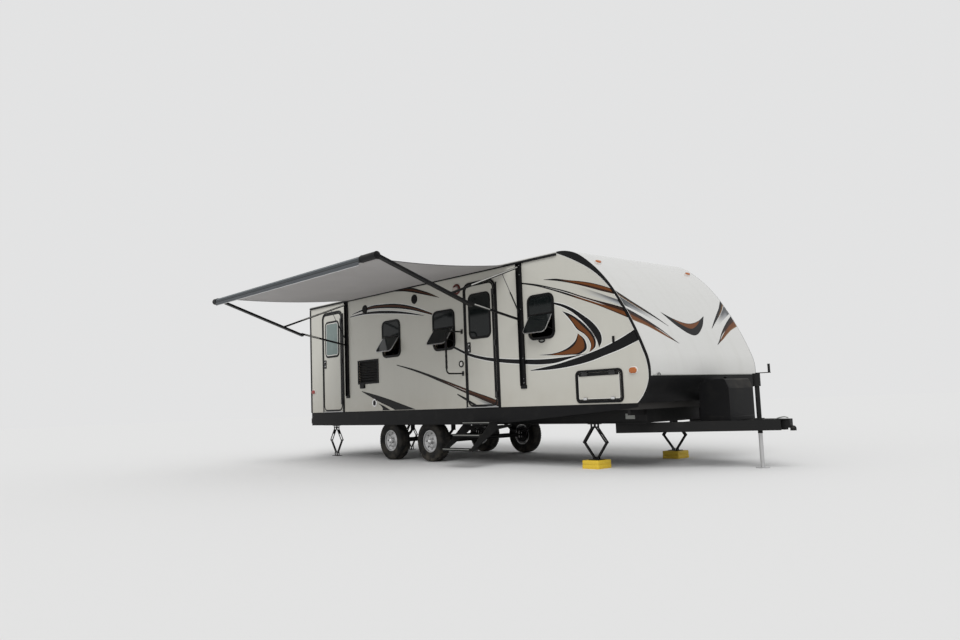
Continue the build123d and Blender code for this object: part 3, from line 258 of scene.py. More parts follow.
def rubber(at):
    """Tyre rubber: dust in the grooves and on the lower sidewall, finely pitted."""
    pits = at.noise(240.0)
    low = 1.0 - at.z.step(GROUND, GROUND + 0.3)
    cover = at.noise(9.0, 4.0).step(0.38, 0.7) * (0.25 + low * 0.4)
    return mix(cover, (0.012, 0.012, 0.012), (0.1, 0.088, 0.07)), 0.62 + pits * 0.2, pits, 0.25, 0.001


def membrane(at):
    """Roof skin: chalky white, lightly soiled in patches."""
    fine = at.noise(90.0, 2.0)
    soil = at.noise(2.2, 7.0, rough=0.65).step(0.4, 0.75)
    return mix(soil * 0.38, (0.64, 0.635, 0.6), (0.46, 0.445, 0.4)), 0.55 + fine * 0.2, fine, 0.15, 0.001


def board(at):
    """Dark sealed underside board, its fibres along the vehicle."""
    fibre = at.noise(1.0, 4.0, (2.0, 40.0, 40.0))
    return mix(fibre, (0.01, 0.01, 0.01), (0.025, 0.022, 0.019)), 0.6 + fibre * 0.2, fibre, 0.1, 0.001


def tint(at):
    """Dark window glass with a little dust."""
    haze = at.noise(12.0, 4.0)
    return mix(haze.step(0.5, 0.9) * 0.3, (0.006, 0.008, 0.008), (0.03, 0.032, 0.03)), 0.04 + haze * 0.06


def lens(at):
    """Moulded lenses with fine flutes: red at the rear, clear at the porch, amber elsewhere."""
    flutes = at.waves("X", at.stretched((1.0, 0.7, 0.0)), 60.0)
    porch = (at.z > 2.15) * (at.x < -4.0) * (at.x > -6.0)
    base = mix(at.x < REAR + 0.2, (0.44, 0.12, 0.014), (0.3, 0.009, 0.008))
    base = mix(porch, base, (0.5, 0.47, 0.44))
    return mix(flutes * 0.4, base, (0.2, 0.04, 0.01)), 0.12 + at.noise(25.0, 2.0) * 0.1, flutes, 0.3, 0.001


def awning_weave(at):
    """Awning cloth: woven, slowly mottled, with a dark binding along its two side edges."""
    u = at.across()[0]
    threads = at.threads()
    soft = at.noise(1.6)
    base = mix(soft.step(0.3, 0.75) * 0.6, (0.40, 0.385, 0.38), (0.46, 0.445, 0.44))
    binding = (u < 0.009) + (u > 0.991)
    base = mix(binding.clamped(), base, (0.03, 0.03, 0.033))
    return mix(threads * 0.2, base, (0.3, 0.29, 0.285)), 0.75 + soft * 0.15, threads, 0.2, 0.0006


def banded(first, *stops):
    """Cloth in lengthwise bands: a first colour, then where along v each next one starts."""
    def recipe(at):
        v = at.across()[1]
        threads = at.threads()
        soft = at.noise(3.0, 4.0)
        base = mix(soft.step(0.3, 0.8) * 0.4, first, shade(first, 0.8))
        for start, colour in stops:
            base = mix(v.step(start - 0.006, start + 0.006), base, colour)
        return mix(threads * 0.25, base, (0.02, 0.022, 0.024)), 0.7 + soft * 0.15, threads, 0.2, 0.0006
    return recipe


def film_of(colour, fade=None, rim=0.12):
    """Stripe film, with black along both edges and before the fade where there is one."""
    def recipe(at):
        speck = at.noise(35.0, 4.0)
        base = mix(speck.step(0.45, 0.8) * 0.35, colour, shade(colour, 0.6))
        if fade:
            u, v = at.across()
            inside = v.step(rim, rim + 0.08) * (1.0 - v.step(0.92 - rim, 1.0 - rim)) * u.step(*fade)
            base = mix(inside, BLACK, base)
        return base, 0.3 + speck * 0.1
    return recipe


def graded(stops, black_before, split=None):
    """Stripe film in bands from its top edge down, black before a place along it, maybe with a pale split."""
    def recipe(at):
        u, v = at.across()
        speck = at.noise(35.0, 4.0)
        base = BLACK
        for start, colour in stops:
            base = mix(v.step(start - 0.05, start + 0.05), base, colour)
        base = mix(speck.step(0.45, 0.8) * 0.3, base, DEEP_BROWN)
        base = mix(u.step(*black_before), BLACK, base)
        if split:
            low, high, begin, end = split
            opened = high - u.step(begin, begin + 0.25) * (high - low)
            line = (v > opened) * (v < high) * (1.0 - u.step(end, end + 0.1))
            base = mix(line, base, (0.62, 0.61, 0.58))
        return base, 0.3 + speck * 0.1
    return recipe


def silver_fade(at):
    """Silver-grey film that comes up out of the wall's colour."""
    u, v = at.across()
    deep = mix(v.step(0.1, 0.95), (0.07, 0.076, 0.09), (0.42, 0.43, 0.44))
    return mix(u.step(0.0, 0.95), CREAM, deep), 0.25 + at.noise(90.0, 2.0) * 0.1


def cap_silver_fade(at):
    """Silver-grey film on the cap, dark at the corner and running out to nothing."""
    u, v = at.across()
    grey = mix(v.step(0.1, 1.0), (0.03, 0.033, 0.04), (0.3, 0.31, 0.32))
    grey = mix(u.step(0.0, 0.3), (0.035, 0.04, 0.042), grey)
    return mix(u.step(0.25, 0.95), grey, (0.57, 0.57, 0.555)), 0.22 + at.noise(90.0, 2.0) * 0.1


BLACK = (0.0055, 0.0055, 0.006)
SOOT = (0.012, 0.012, 0.012)
CREAM = (0.515, 0.505, 0.455)
BROWN = (0.14, 0.046, 0.012)
DARK_BROWN = (0.07, 0.024, 0.01)
DEEP_BROWN = (0.028, 0.011, 0.007)
SLATE = (0.042, 0.048, 0.052)
PALE_SLATE = (0.3, 0.33, 0.35)
DUST = (0.1, 0.092, 0.078)
DARK = {"Specular IOR Level": 0.14}
SKIN = {"Coat Weight": 0.15, "Coat Roughness": 0.25}

# Finishes by the record's slot that they belong to: recipe, and constants of the shader
LOOKS = {
    "siding": {
        "siding": (siding, SKIN),
        "door_skin": (door_skin, SKIN),
        "film_silver": (silver_fade,),
    },
    "white_cap": {
        "white_cap": (gelcoat, {"Coat Weight": 0.5, "Coat Roughness": 0.1}),
        "cap_silver": (cap_silver_fade,),
    },
    "white_frame": {
        "white_frame": (plain((0.68, 0.67, 0.64), 0.3),),
        "roof_moulding": (plain((0.6, 0.6, 0.575), 0.5, 12.0, (0.5, 0.49, 0.46)),),
        "film_white": (film_of((0.72, 0.72, 0.7)),),
    },
    "roof_skin": {"roof_skin": (membrane,)},
    "floor_board": {"floor_board": (board,)},
    "black_trim": {
        "black_trim": (dusty(BLACK, 0.34), DARK),
        "film_black": (film_of(BLACK), DARK),
        "film_core": (film_of(BROWN), DARK),
        "film_arch": (film_of(DARK_BROWN, (0.08, 0.3), 0.3), DARK),
        "film_leaf": (film_of(BROWN, (0.15, 0.35), 0.13), DARK),
        "film_hook": (graded([(0.3, BROWN), (0.86, BLACK)], (0.12, 0.3)), DARK),
        "film_brown": (graded([(0.12, BROWN), (0.6, DEEP_BROWN)], (0.2, 0.45)), DARK),
        "film_split": (graded([(0.14, DEEP_BROWN), (0.44, BROWN), (0.86, DEEP_BROWN)], (0.45, 0.62),
                              (0.36, 0.5, 0.16, 0.72)), DARK),
        "film_spear": (graded([(0.16, DARK_BROWN), (0.5, DEEP_BROWN), (0.9, BLACK)], (0.42, 0.6),
                              (0.42, 0.56, 0.5, 0.66)), DARK),
        "cap_upper": (graded([(0.62, (0.11, 0.055, 0.018))], (0.62, 0.3)), DARK),
        "cap_lower": (graded([(0.22, DEEP_BROWN), (0.5, BROWN), (0.9, (0.2, 0.11, 0.05))], (0.95, 0.75),
                             (0.3, 0.46, 0.45, 0.75)), DARK),
    },
    "black_plastic": {
        "black_plastic": (dusty(BLACK, 0.42, 90.0, 0.25), DARK),
        "foam": (dusty((0.014, 0.014, 0.014), 0.7, 300.0, 0.4), DARK),
    },
    "black_steel": {"black_steel": (dusty(SOOT, 0.4, 30.0), DARK)},
    "black_arms": {"black_arms": (dusty(BLACK, 0.36, 200.0), DARK)},
    "rim_paint": {"rim_paint": (plain((0.5, 0.5, 0.5), 0.3), {"Metallic": 0.8})},
    "steel": {
        "steel": (brushed((0.55, 0.55, 0.55), 0.25), {"Metallic": 1.0}),
        "dark_rod": (brushed((0.09, 0.09, 0.095), 0.3), {"Metallic": 0.6}),
        "chrome": (brushed((0.8, 0.8, 0.8), 0.1), {"Metallic": 1.0}),
        "plate_grey": (plain((0.3, 0.31, 0.29), 0.5, 120.0),),
        # Pale metal used only for the awning bars' painted highlights
        "highlight_plate": (brushed((0.62, 0.62, 0.6), 0.3, 1), {"Metallic": 0.7}),
    },
    "tinted_glass": {
        "tinted_glass": (tint, {"Specular IOR Level": 0.22}),
        "pale_glass": (plain((0.15, 0.2, 0.19), 0.1, 9.0, (0.22, 0.27, 0.25)),),
    },
    "tyre": {"tyre": (rubber, DARK)},
    "awning_cloth": {
        "awning_cloth": (awning_weave,),
        "roller_cloth": (banded(SLATE, (0.5, PALE_SLATE), (0.56, SLATE), (0.8, BLACK), (0.84, SLATE)),),
        "valance_cloth": (banded(PALE_SLATE, (0.06, (0.055, 0.062, 0.068)), (0.4, BLACK),
                                 (0.48, (0.075, 0.082, 0.09)), (0.92, (0.5, 0.5, 0.5))),),
    },
    "yellow_plastic": {"yellow_plastic": (plain((0.72, 0.5, 0.035), 0.5, 60.0, (0.58, 0.38, 0.03)),)},
    "amber_lens": {
        "lens": (lens, {"Coat Weight": 0.2}),
        "ring_red": (plain((0.09, 0.012, 0.008), 0.35),),
    },
}
FINISH = {name: (slot, finish(name, *made)) for slot, looks in LOOKS.items() for name, made in looks.items()}

# Nodes of the part whose finish isn't their slot's own
SPECIAL = {"front_door": "door_skin", "rear_door": "door_skin", "curb_baggage_door": "door_skin",
           "street_baggage_door": "door_skin", "rear_door_glass": "pale_glass", "lamps": "lens",
           "awning_strut_rods": "dark_rod", "roof_units": "roof_moulding"}

for part in frame["record"]["subparts"]:
    shown = frame["nodes"][part["node"]]
    shown.data.materials.clear()
    shown.data.materials.append(FINISH[SPECIAL.get(part["node"], part["material_slot"])][1])

# Shapes

# Gap between an added piece and the surface that it sits on, and a plate's first level at that gap
CLEAR = 0.0003
FOOT = (0, CLEAR)


def placed(name, data):
    """A new object in the scene."""
    made = bpy.data.objects.new(name, data)
    bpy.context.scene.collection.objects.link(made)
    return made


def build(name, points, faces, material, body="body", uv=None):
    """A mesh piece with outward faces that rides on a body."""
    mesh = bpy.data.meshes.new(name)
    mesh.from_pydata(np.asarray(points, float).reshape(-1, 3).tolist(), [], faces)
    if uv is not None:
        layer = mesh.uv_layers.new(name="UVMap")
        corners = np.empty(len(mesh.loops), np.int32)
        mesh.loops.foreach_get("vertex_index", corners)
        layer.data.foreach_set("uv", np.asarray(uv, float).reshape(-1, 2)[corners].ravel())
    work = bmesh.new()
    work.from_mesh(mesh)
    bmesh.ops.recalc_face_normals(work, faces=work.faces)
    work.to_mesh(mesh)
    work.free()
    slot, finished = FINISH[material]
    mesh.materials.append(finished)
    mesh.polygons.foreach_set("use_smooth", np.full(len(mesh.polygons), True))
    piece = placed(name, mesh)
    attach(piece, body)
    return piece


def keep_crisp(piece, angle=0.6):
    """Mark the edges sharper than an angle, so that they aren't shaded smooth."""
    work = bmesh.new()
    work.from_mesh(piece.data)
    for edge in work.edges:
        edge.smooth = len(edge.link_faces) == 2 and edge.calc_face_angle(0.0) < angle
    work.to_mesh(piece.data)
    work.free()
    return piece


def quads(rows, columns, closed_rows=False, closed_columns=False):
    """Faces of a grid of rows by columns, joined up at either edge where closed."""
    i = np.arange(rows if closed_rows else rows - 1)[:, None]
    j = np.arange(columns if closed_columns else columns - 1)
    below, beside = (i + 1) % rows, (j + 1) % columns
    corners = (i, j), (below, j), (below, beside), (i, beside)
    return np.stack([row * columns + column for row, column in corners], -1).reshape(-1, 4).tolist()


def swept(name, rings, material, body="body", looped=False, uv=None):
    """A closed tube through rings of points: sides in quads, and a cap at each end unless it loops."""
    rings = np.asarray(rings, float)
    rows, columns = rings.shape[:2]
    faces = quads(rows, columns, looped, True)
    if not looped:
        faces.append(list(range(columns))[::-1])
        faces.append([(rows - 1) * columns + j for j in range(columns)])
    return keep_crisp(build(name, rings, faces, material, body, uv))


def slab(name, face, back, material, body="body", uv=None):
    """A thin closed sheet between two grids of points, joined round their rim."""
    rows, columns = face.shape[:2]
    index = np.arange(rows * columns).reshape(rows, columns)
    rim = np.concatenate([index[0, :-1], index[:-1, -1], index[-1, :0:-1], index[:0:-1, 0]])
    after, count = np.roll(rim, -1), rows * columns
    faces = quads(rows, columns)
    faces += [[count + k for k in reversed(four)] for four in faces]
    faces += np.stack([rim, after, after + count, rim + count], 1).tolist()
    if uv is not None:
        uv = np.concatenate([uv.reshape(-1, 2)] * 2)
    points = np.concatenate([face.reshape(-1, 3), back.reshape(-1, 3)])
    return keep_crisp(build(name, points, faces, material, body, uv))


def points_at(x, y, z):
    """Points from their three parts, any of which may be one number for all."""
    return np.stack(np.broadcast_arrays(x, y, z), -1)


def whole_turn(count):
    """Even steps round a circle."""
    return np.linspace(0, 2 * np.pi, count, endpoint=False)


def spokes(axis, count):
    """Unit vectors at right angles to an axis, evenly round it."""
    first = np.cross(axis, np.eye(3)[np.argmin(np.abs(axis))])
    first /= np.linalg.norm(first)
    a = whole_turn(count)[:, None]
    return np.cos(a) * first + np.sin(a) * np.cross(axis, first)


def tube(name, path, radius, material, body="body", sides=8):
    """A round section carried along a path, kept from twisting by one fixed direction."""
    path = np.asarray(path, float)
    tangent = np.gradient(path, axis=0)
    tangent /= np.linalg.norm(tangent, axis=1)[:, None]
    side = np.cross(tangent, np.eye(3)[np.argmin(np.abs(tangent).mean(0))])
    side /= np.linalg.norm(side, axis=1)[:, None]
    above = np.cross(side, tangent)
    a = whole_turn(sides)[None, :, None]
    return swept(name, path[:, None] + radius * (np.cos(a) * side[:, None] + np.sin(a) * above[:, None]),
                 material, body)


def on_plane(origin, across_way, along_way, out_way):
    """Place function of a surface: two ways in it and one off it, from an origin."""
    origin, first, second, out = (np.asarray(way, float) for way in (origin, across_way, along_way, out_way))

    def where(a, b, height):
        return origin + np.asarray(a)[..., None] * first + np.asarray(b)[..., None] * second + height * out
    return where


def on_side(side, proud=0.0):
    """Place function of a side wall: x, z, and height off the wall plus what is already proud."""
    return on_plane((0, side * (SIDE + proud), 0), (1, 0, 0), (0, 0, 1), (0, side, 0))


def on_top(z):
    """Place function of a level surface that faces up."""
    return on_plane((0, 0, z), (1, 0, 0), (0, 1, 0), (0, 0, 1))


CURB, STREET, CURB_LEAF = on_side(-1), on_side(1), on_side(-1, LEAF_PROUD)


def raised(name, outline, levels, material, where=CURB, body="body", ring=False):
    """A plate, or a ring, on a surface: the outline drawn in by each level's inset, at the level's height."""
    rings = [where(*outline(inset).T, height) for inset, height in levels]
    return swept(name, rings, material, body, ring)


def bezel(name, outline, material, where, wide, high):
    """A round-backed ring just inside an outline."""
    shoulder = high * 0.6
    levels = [FOOT, (0, shoulder), (wide * 0.3, high), (wide * 0.7, high), (wide, shoulder), (wide, CLEAR)]
    return raised(name, outline, levels, material, where, ring=True)


def studs(name, centres, out, radius, height, material, body="body", sides=8):
    """Many small domes as one mesh: three shrinking rings and a pole about each centre."""
    rings = np.array([[1.0, 0.0], [0.92, 0.55], [0.55, 0.9]])[:, :, None, None]
    out = np.asarray(out, float)
    dome = rings[:, 0] * radius * spokes(out, sides) + rings[:, 1] * height * out
    dome = np.concatenate([dome.reshape(-1, 3), [height * out]])
    pole = 3 * sides
    faces = quads(3, sides, False, True)
    faces += [[2 * sides + j, 2 * sides + (j + 1) % sides, pole] for j in range(sides)] + [list(range(sides))]
    points = np.asarray(centres, float)[:, None] + dome
    every = [[i * (pole + 1) + k for k in face] for i in range(len(points)) for face in faces]
    return build(name, points, every, material, body)


def lathe(name, profile, centre, axis, material, body="body", turns=32):
    """A profile of (radius, along) points turned about an axis through a centre."""
    radius, along = np.asarray(profile, float).T[:, :, None, None]
    rings = np.asarray(centre) + radius * spokes(axis, turns) + along * np.asarray(axis, float)
    return swept(name, rings, material, body)


def cushioned(name, low, high, material, round_off=0.3, n=8):
    """A box with rounded edges: a superellipsoid whose power grows as round_off shrinks."""
    low, high = np.asarray(low, float), np.asarray(high, float)
    u = whole_turn(2 * n)
    v = np.linspace(-np.pi / 2, np.pi / 2, n + 1)[1:-1, None]

    def power(value):
        return np.sign(value) * np.abs(value) ** round_off

    belt = power(np.cos(v))
    shape = points_at(belt * power(np.cos(u)), belt * power(np.sin(u)), power(np.sin(v)))
    return swept(name, (low + high) / 2 + shape * (high - low) / 2, material)


def rounded(cx, cz, wide, high, radius):
    """Outline of a rounded rectangle, drawn in by an inset: four quarter arcs."""
    def outline(inset):
        r = max(radius - inset, 0.0008)
        corners = []
        for sx, sz, turn in ((1, 1, 0), (-1, 1, 1), (-1, -1, 2), (1, -1, 3)):
            a = np.linspace(0, np.pi / 2, 8) + turn * np.pi / 2
            centre = np.array([cx + sx * (wide / 2 - inset - r), cz + sz * (high / 2 - inset - r)])
            corners.append(centre + r * np.stack([np.cos(a), np.sin(a)], 1))
        return np.concatenate(corners)
    return outline


def oval(cx, cz, wide, high):
    """Outline of an ellipse, drawn in by an inset."""
    spoke = np.stack([np.cos(whole_turn(36)), np.sin(whole_turn(36))], 1)
    return lambda inset: (cx, cz) + (wide / 2 - inset, high / 2 - inset) * spoke


def curve_through(points, n):
    """A smooth curve through points: a cubic piece between each two, with slopes from their neighbours."""
    points = np.asarray(points, float)
    chord = np.concatenate([[0], np.cumsum(np.linalg.norm(np.diff(points, axis=0), axis=1))])
    slope = np.gradient(points, chord, axis=0)
    s = np.linspace(0, chord[-1], n)
    i = np.clip(np.searchsorted(chord, s, side="right") - 1, 0, len(points) - 2)
    h = (chord[i + 1] - chord[i])[:, None]
    t = ((s - chord[i]) / h[:, 0])[:, None]
    ends = points[i] * (2 * t**3 - 3 * t**2 + 1) + points[i + 1] * (3 * t**2 - 2 * t**3)
    return ends + slope[i] * h * (t**3 - 2 * t**2 + t) + slope[i + 1] * h * (t**3 - t**2)


# Stripes on the walls, as pairs of edges in (x, z)
STRIPES = {
    "upper_swoosh": ("film_brown",
        [(-2.833, 2.113), (-2.595, 2.091), (-2.392, 2.044), (-2.194, 2.003), (-2.003, 1.955), (-1.818, 1.895),
         (-1.661, 1.832), (-1.556, 1.776)],
        [(-2.833, 2.109), (-2.597, 2.062), (-2.394, 2.01), (-2.198, 1.951), (-2.007, 1.887), (-1.823, 1.822),
         (-1.665, 1.771), (-1.537, 1.731)]),
    "silver_band": ("film_silver",
        [(-2.3, 1.955), (-2.126, 1.905), (-1.935, 1.829), (-1.75, 1.753), (-1.52, 1.66)],
        [(-2.3, 1.9), (-2.13, 1.838), (-1.939, 1.764), (-1.754, 1.694), (-1.475, 1.575)]),
    "middle_swoosh": ("film_split",
        [(-3.283, 2.134), (-2.972, 2.067), (-2.681, 1.982), (-2.427, 1.902), (-2.159, 1.799), (-1.878, 1.701),
         (-1.652, 1.627), (-1.435, 1.551)],
        [(-3.284, 2.114), (-2.974, 2.038), (-2.684, 1.943), (-2.43, 1.849), (-2.162, 1.747), (-1.882, 1.639),
         (-1.658, 1.541), (-1.368, 1.41)]),
    "crescent": ("film_black",
        [(-2.671, 1.777), (-2.495, 1.727), (-2.319, 1.648), (-2.15, 1.543), (-2.01, 1.444), (-1.909, 1.341),
         (-1.856, 1.243), (-1.856, 1.17), (-1.902, 1.1)],
        [(-2.673, 1.752), (-2.497, 1.688), (-2.347, 1.609), (-2.203, 1.502), (-2.086, 1.395), (-1.996, 1.293),
         (-1.942, 1.205), (-1.916, 1.138), (-1.907, 1.096)]),
    "brown_crescent": ("film_hook",
        [(-2.509, 1.635), (-2.372, 1.58), (-2.229, 1.495), (-2.09, 1.379), (-1.997, 1.274), (-1.956, 1.192),
         (-1.961, 1.12), (-2.065, 1.047)],
        [(-2.509, 1.631), (-2.425, 1.553), (-2.35, 1.47), (-2.267, 1.368), (-2.14, 1.287), (-2.066, 1.207),
         (-2.04, 1.135), (-2.07, 1.051)]),
    "leaf": ("film_leaf",
        [(-2.967, 1.074), (-2.714, 1.077), (-2.557, 1.1), (-2.401, 1.154), (-2.296, 1.23), (-2.254, 1.31)],
        [(-2.968, 1.07), (-2.664, 1.047), (-2.409, 1.037), (-2.198, 1.044), (-2.115, 1.095), (-2.134, 1.207),
         (-2.251, 1.31)]),
    "belt": ("film_black",
        [(-4.829, 1.342), (-4.5, 1.217), (-4.165, 1.133), (-3.811, 1.081), (-3.345, 1.036), (-2.931, 1.011),
         (-2.537, 1.012), (-2.261, 1.024), (-2.12, 1.033)],
        [(-4.831, 1.305), (-4.502, 1.174), (-4.168, 1.089), (-3.815, 1.027), (-3.349, 0.973), (-2.935, 0.941),
         (-2.68, 0.945), (-2.44, 0.984), (-2.26, 1.014), (-2.121, 1.03)]),
    "sweep": ("film_black",
        [(-3.161, 0.873), (-2.813, 0.908), (-2.6, 0.934), (-2.415, 0.967), (-2.22, 1.003), (-2.05, 1.04),
         (-1.795, 1.104), (-1.56, 1.181), (-1.33, 1.274)],
        [(-3.162, 0.864), (-2.817, 0.86), (-2.422, 0.882), (-2.045, 0.934), (-1.803, 0.991), (-1.569, 1.047),
         (-1.26, 1.143)]),
    "spear": ("film_spear",
        [(-6.378, 1.146), (-5.941, 1.054), (-5.545, 0.952), (-5.242, 0.866), (-4.914, 0.77), (-4.6, 0.678),
         (-4.33, 0.601), (-4.069, 0.533), (-3.848, 0.467)],
        [(-6.378, 1.131), (-5.942, 1.022), (-5.547, 0.912), (-5.245, 0.815), (-4.917, 0.713), (-4.605, 0.606),
         (-4.337, 0.53), (-4.1, 0.455), (-3.855, 0.386)]),
    "spear_silver": ("film_silver",
        [(-4.52, 0.575), (-4.337, 0.527), (-4.1, 0.452), (-3.95, 0.41), (-3.862, 0.384)],
        [(-4.52, 0.565), (-4.36, 0.49), (-4.2, 0.425), (-4.12, 0.392), (-3.99, 0.385), (-3.862, 0.381)]),
    "spear_under": ("film_black",
        [(-4.787, 0.598), (-4.607, 0.536), (-4.439, 0.465), (-4.291, 0.402)],
        [(-4.788, 0.58), (-4.61, 0.498), (-4.441, 0.427), (-4.302, 0.391)]),
    "tail": ("film_black",
        [(-7.477, 0.733), (-7.092, 0.662), (-6.644, 0.567), (-6.302, 0.483), (-5.872, 0.376)],
        [(-7.478, 0.722), (-7.15, 0.602), (-6.85, 0.5), (-6.62, 0.432), (-6.46, 0.376)]),
    "tail_second": ("film_black",
        [(-6.95, 0.5), (-6.8, 0.455), (-6.68, 0.41), (-6.6, 0.376)],
        [(-6.952, 0.494), (-6.862, 0.44), (-6.832, 0.405), (-6.84, 0.376)]),
    "arch": ("film_arch",
        [(-7.738, 2.165), (-7.399, 2.215), (-7.112, 2.246), (-6.758, 2.233), (-6.417, 2.204), (-6.09, 2.146),
         (-5.811, 2.075), (-5.541, 1.987), (-5.35, 1.92)],
        [(-7.738, 2.154), (-7.4, 2.179), (-7.075, 2.183), (-6.761, 2.161), (-6.421, 2.122), (-6.094, 2.071),
         (-5.814, 2.01), (-5.544, 1.94), (-5.35, 1.888)]),
    "arch_under": ("film_black",
        [(-7.826, 2.123), (-7.402, 2.147), (-6.918, 2.132), (-6.535, 2.093), (-6.168, 2.037), (-5.816, 1.966),
         (-5.579, 1.909)],
        [(-7.826, 2.109), (-7.403, 2.115), (-6.92, 2.085), (-6.537, 2.045), (-6.17, 2.0), (-5.817, 1.943),
         (-5.573, 1.9)]),
    "brow": ("film_arch",
        [(-6.384, 2.415), (-6.125, 2.429), (-5.875, 2.406), (-5.634, 2.336), (-5.4, 2.257), (-5.156, 2.154)],
        [(-6.384, 2.41), (-6.127, 2.379), (-5.879, 2.329), (-5.637, 2.27), (-5.403, 2.211), (-5.156, 2.149)]),
}
# Stripes with a pale edge, stripes that cross the front door, and those on the curb side only
OUTLINED = ("crescent", "brown_crescent", "leaf", "belt", "sweep", "arch", "arch_under")
CROSSING = ("belt", "spear", "spear_silver", "spear_under")
CURB_ONLY = ("spear_under", "spear_silver")

# Heights above the wall of a stripe's face, of the pale edge's face below it, and of both their backs
FILM_TOP, EDGE_TOP, FILM_BACK = 0.0006, 0.0003, 0.0001

# Entry doors: rear and front edges of the frame, and how far the leaf's face lies inside them
DOORS = {"front": (-4.563, -3.825), "rear": (-8.829, -8.091)}
LEAF_INSET = 0.036


def arc_points(start, via, end):
    """Points on the circle through three points, from the first to the last."""
    (x1, z1), (x2, z2), (x3, z3) = start, via, end
    d = 2 * (x1 * (z2 - z3) + x2 * (z3 - z1) + x3 * (z1 - z2))
    a, b, c = x1**2 + z1**2, x2**2 + z2**2, x3**2 + z3**2
    cx = (a * (z2 - z3) + b * (z3 - z1) + c * (z1 - z2)) / d
    cz = (a * (x3 - x2) + b * (x1 - x3) + c * (x2 - x1)) / d
    turn = np.unwrap([np.arctan2(z - cz, x - cx) for x, z in (start, via, end)])
    t = np.linspace(turn[0], turn[2], 24)
    return (cx, cz) + np.hypot(x1 - cx, z1 - cz) * np.stack([np.cos(t), np.sin(t)], 1)


def outline_of(points):
    """A profile in metres: arcs end to end through points given in millimetres above the ground."""
    arcs = [arc_points(*points[i:i + 3]) for i in range(0, len(points) - 2, 2)]
    line = np.concatenate([arc[:-1] for arc in arcs] + [arcs[-1][-1:]])
    return line / 1000.0 + (0.0, GROUND)


# The front cap's profile, and the edge where the side wall's skin meets it
OUTER = outline_of([
    (-2562, 2940), (-2346, 2913), (-2146, 2825), (-1892, 2622), (-1640, 2340), (-1380, 1928),
    (-1173, 1488), (-1122, 1312), (-1124, 1145), (-1189, 981), (-1309, 852)])
INNER = outline_of([
    (-2562, 2918), (-2330, 2814), (-2086, 2681), (-1846, 2508), (-1643, 2289), (-1402, 1898),
    (-1218, 1492), (-1160, 1310), (-1154, 1147), (-1218, 990), (-1340, 852)])


def cap_front(z):
    """How far forward the cap's profile reaches at a height."""
    return np.interp(-z, -OUTER[:, 1], OUTER[:, 0])


def on_cap(a, b, height):
    """Place on the front cap: its profile carried along Y, and height off it at right angles."""
    slope = np.interp(-b, -OUTER[:, 1], np.gradient(OUTER[:, 0], OUTER[:, 1]))
    size = np.sqrt(1 + slope**2)
    return np.stack([cap_front(b) + height / size, a, b - height * slope / size], 1)


def film(name, material, top, low, where, body="body", keep=None, widen=0.0, n=80, lift=0.0):
    """A stripe's film: straight lines between two smooth edges, each resampled over the kept range of x."""
    edges = [curve_through(points, n) for points in (top, low)]
    share = np.linspace(0, 1, n)
    if widen:
        gap = edges[0] - edges[1]
        length = np.maximum(np.linalg.norm(gap, axis=1), 1e-6)[:, None]
        spread = widen * np.minimum(1.0, 8 * share * (1 - share) + 0.25)[:, None]
        edges = [edges[0] + gap / length * spread, edges[1] - gap / length * spread]
    if keep:
        kept = []
        for edge in edges:
            x = np.linspace(max(edge[0, 0], keep[0]), min(edge[-1, 0], keep[1]), n)
            kept.append(np.stack([x, np.interp(x, edge[:, 0], edge[:, 1])], 1))
        if min(edge[-1, 0] - edge[0, 0] for edge in kept) <= 0:
            return
        share = np.interp(kept[0][:, 0], edges[0][:, 0], share)
        edges = kept
    v = np.linspace(0, 1, 6)
    flat = edges[0][:, None] * (1 - v[None, :, None]) + edges[1][:, None] * v[None, :, None]
    a, b = flat.reshape(-1, 2).T
    if where is not on_cap:
        a = np.minimum(a, cap_front(b) - 0.004)
    levels = (lift + (EDGE_TOP if widen else FILM_TOP), lift + FILM_BACK)
    face, back = (where(a, b, height).reshape(n, 6, 3) for height in levels)
    slab(name, face, back, material, body, np.stack(np.broadcast_arrays(share[:, None], v), -1))


def make_stripes():
    """Every stripe on both side walls, cut where it crosses the front door on the curb side, and a painted
    highlight along the corner trim's inner edge.
    """
    rear, front = DOORS["front"]
    cuts = (("_rear", CURB, "body", (REAR, rear)), ("_fore", CURB, "body", (front, 0.0)),
            ("_door", CURB_LEAF, "front_door", (rear + LEAF_INSET, front - LEAF_INSET)))
    step = np.gradient(INNER, axis=0)
    step /= np.linalg.norm(step, axis=1)[:, None]
    inward = np.stack([step[:, 1], -step[:, 0]], 1)
    for side, word in SIDES:
        wall = on_side(side)
        # Painted highlight: a thin white film just inside the corner trim's edge, standing for light caught
        # where the wall meets the trim.
        film(f"{word}_edge_line", "film_white", INNER + inward * 0.002, INNER + inward * 0.011, wall, n=160)
        for name, (material, top, low) in STRIPES.items():
            if side > 0 and name in CURB_ONLY:
                continue
            places = cuts if side < 0 and name in CROSSING else (("", wall, "body", None),)
            layers = [(material, 0.0, "")]
            if name in OUTLINED:
                layers.append(("film_white", 0.01, "_edge"))
            for finish_name, widen, tail in layers:
                for end, where, body, keep in places:
                    film(f"{word}_{name}{tail}{end}", finish_name, top, low, where, body, keep, widen)


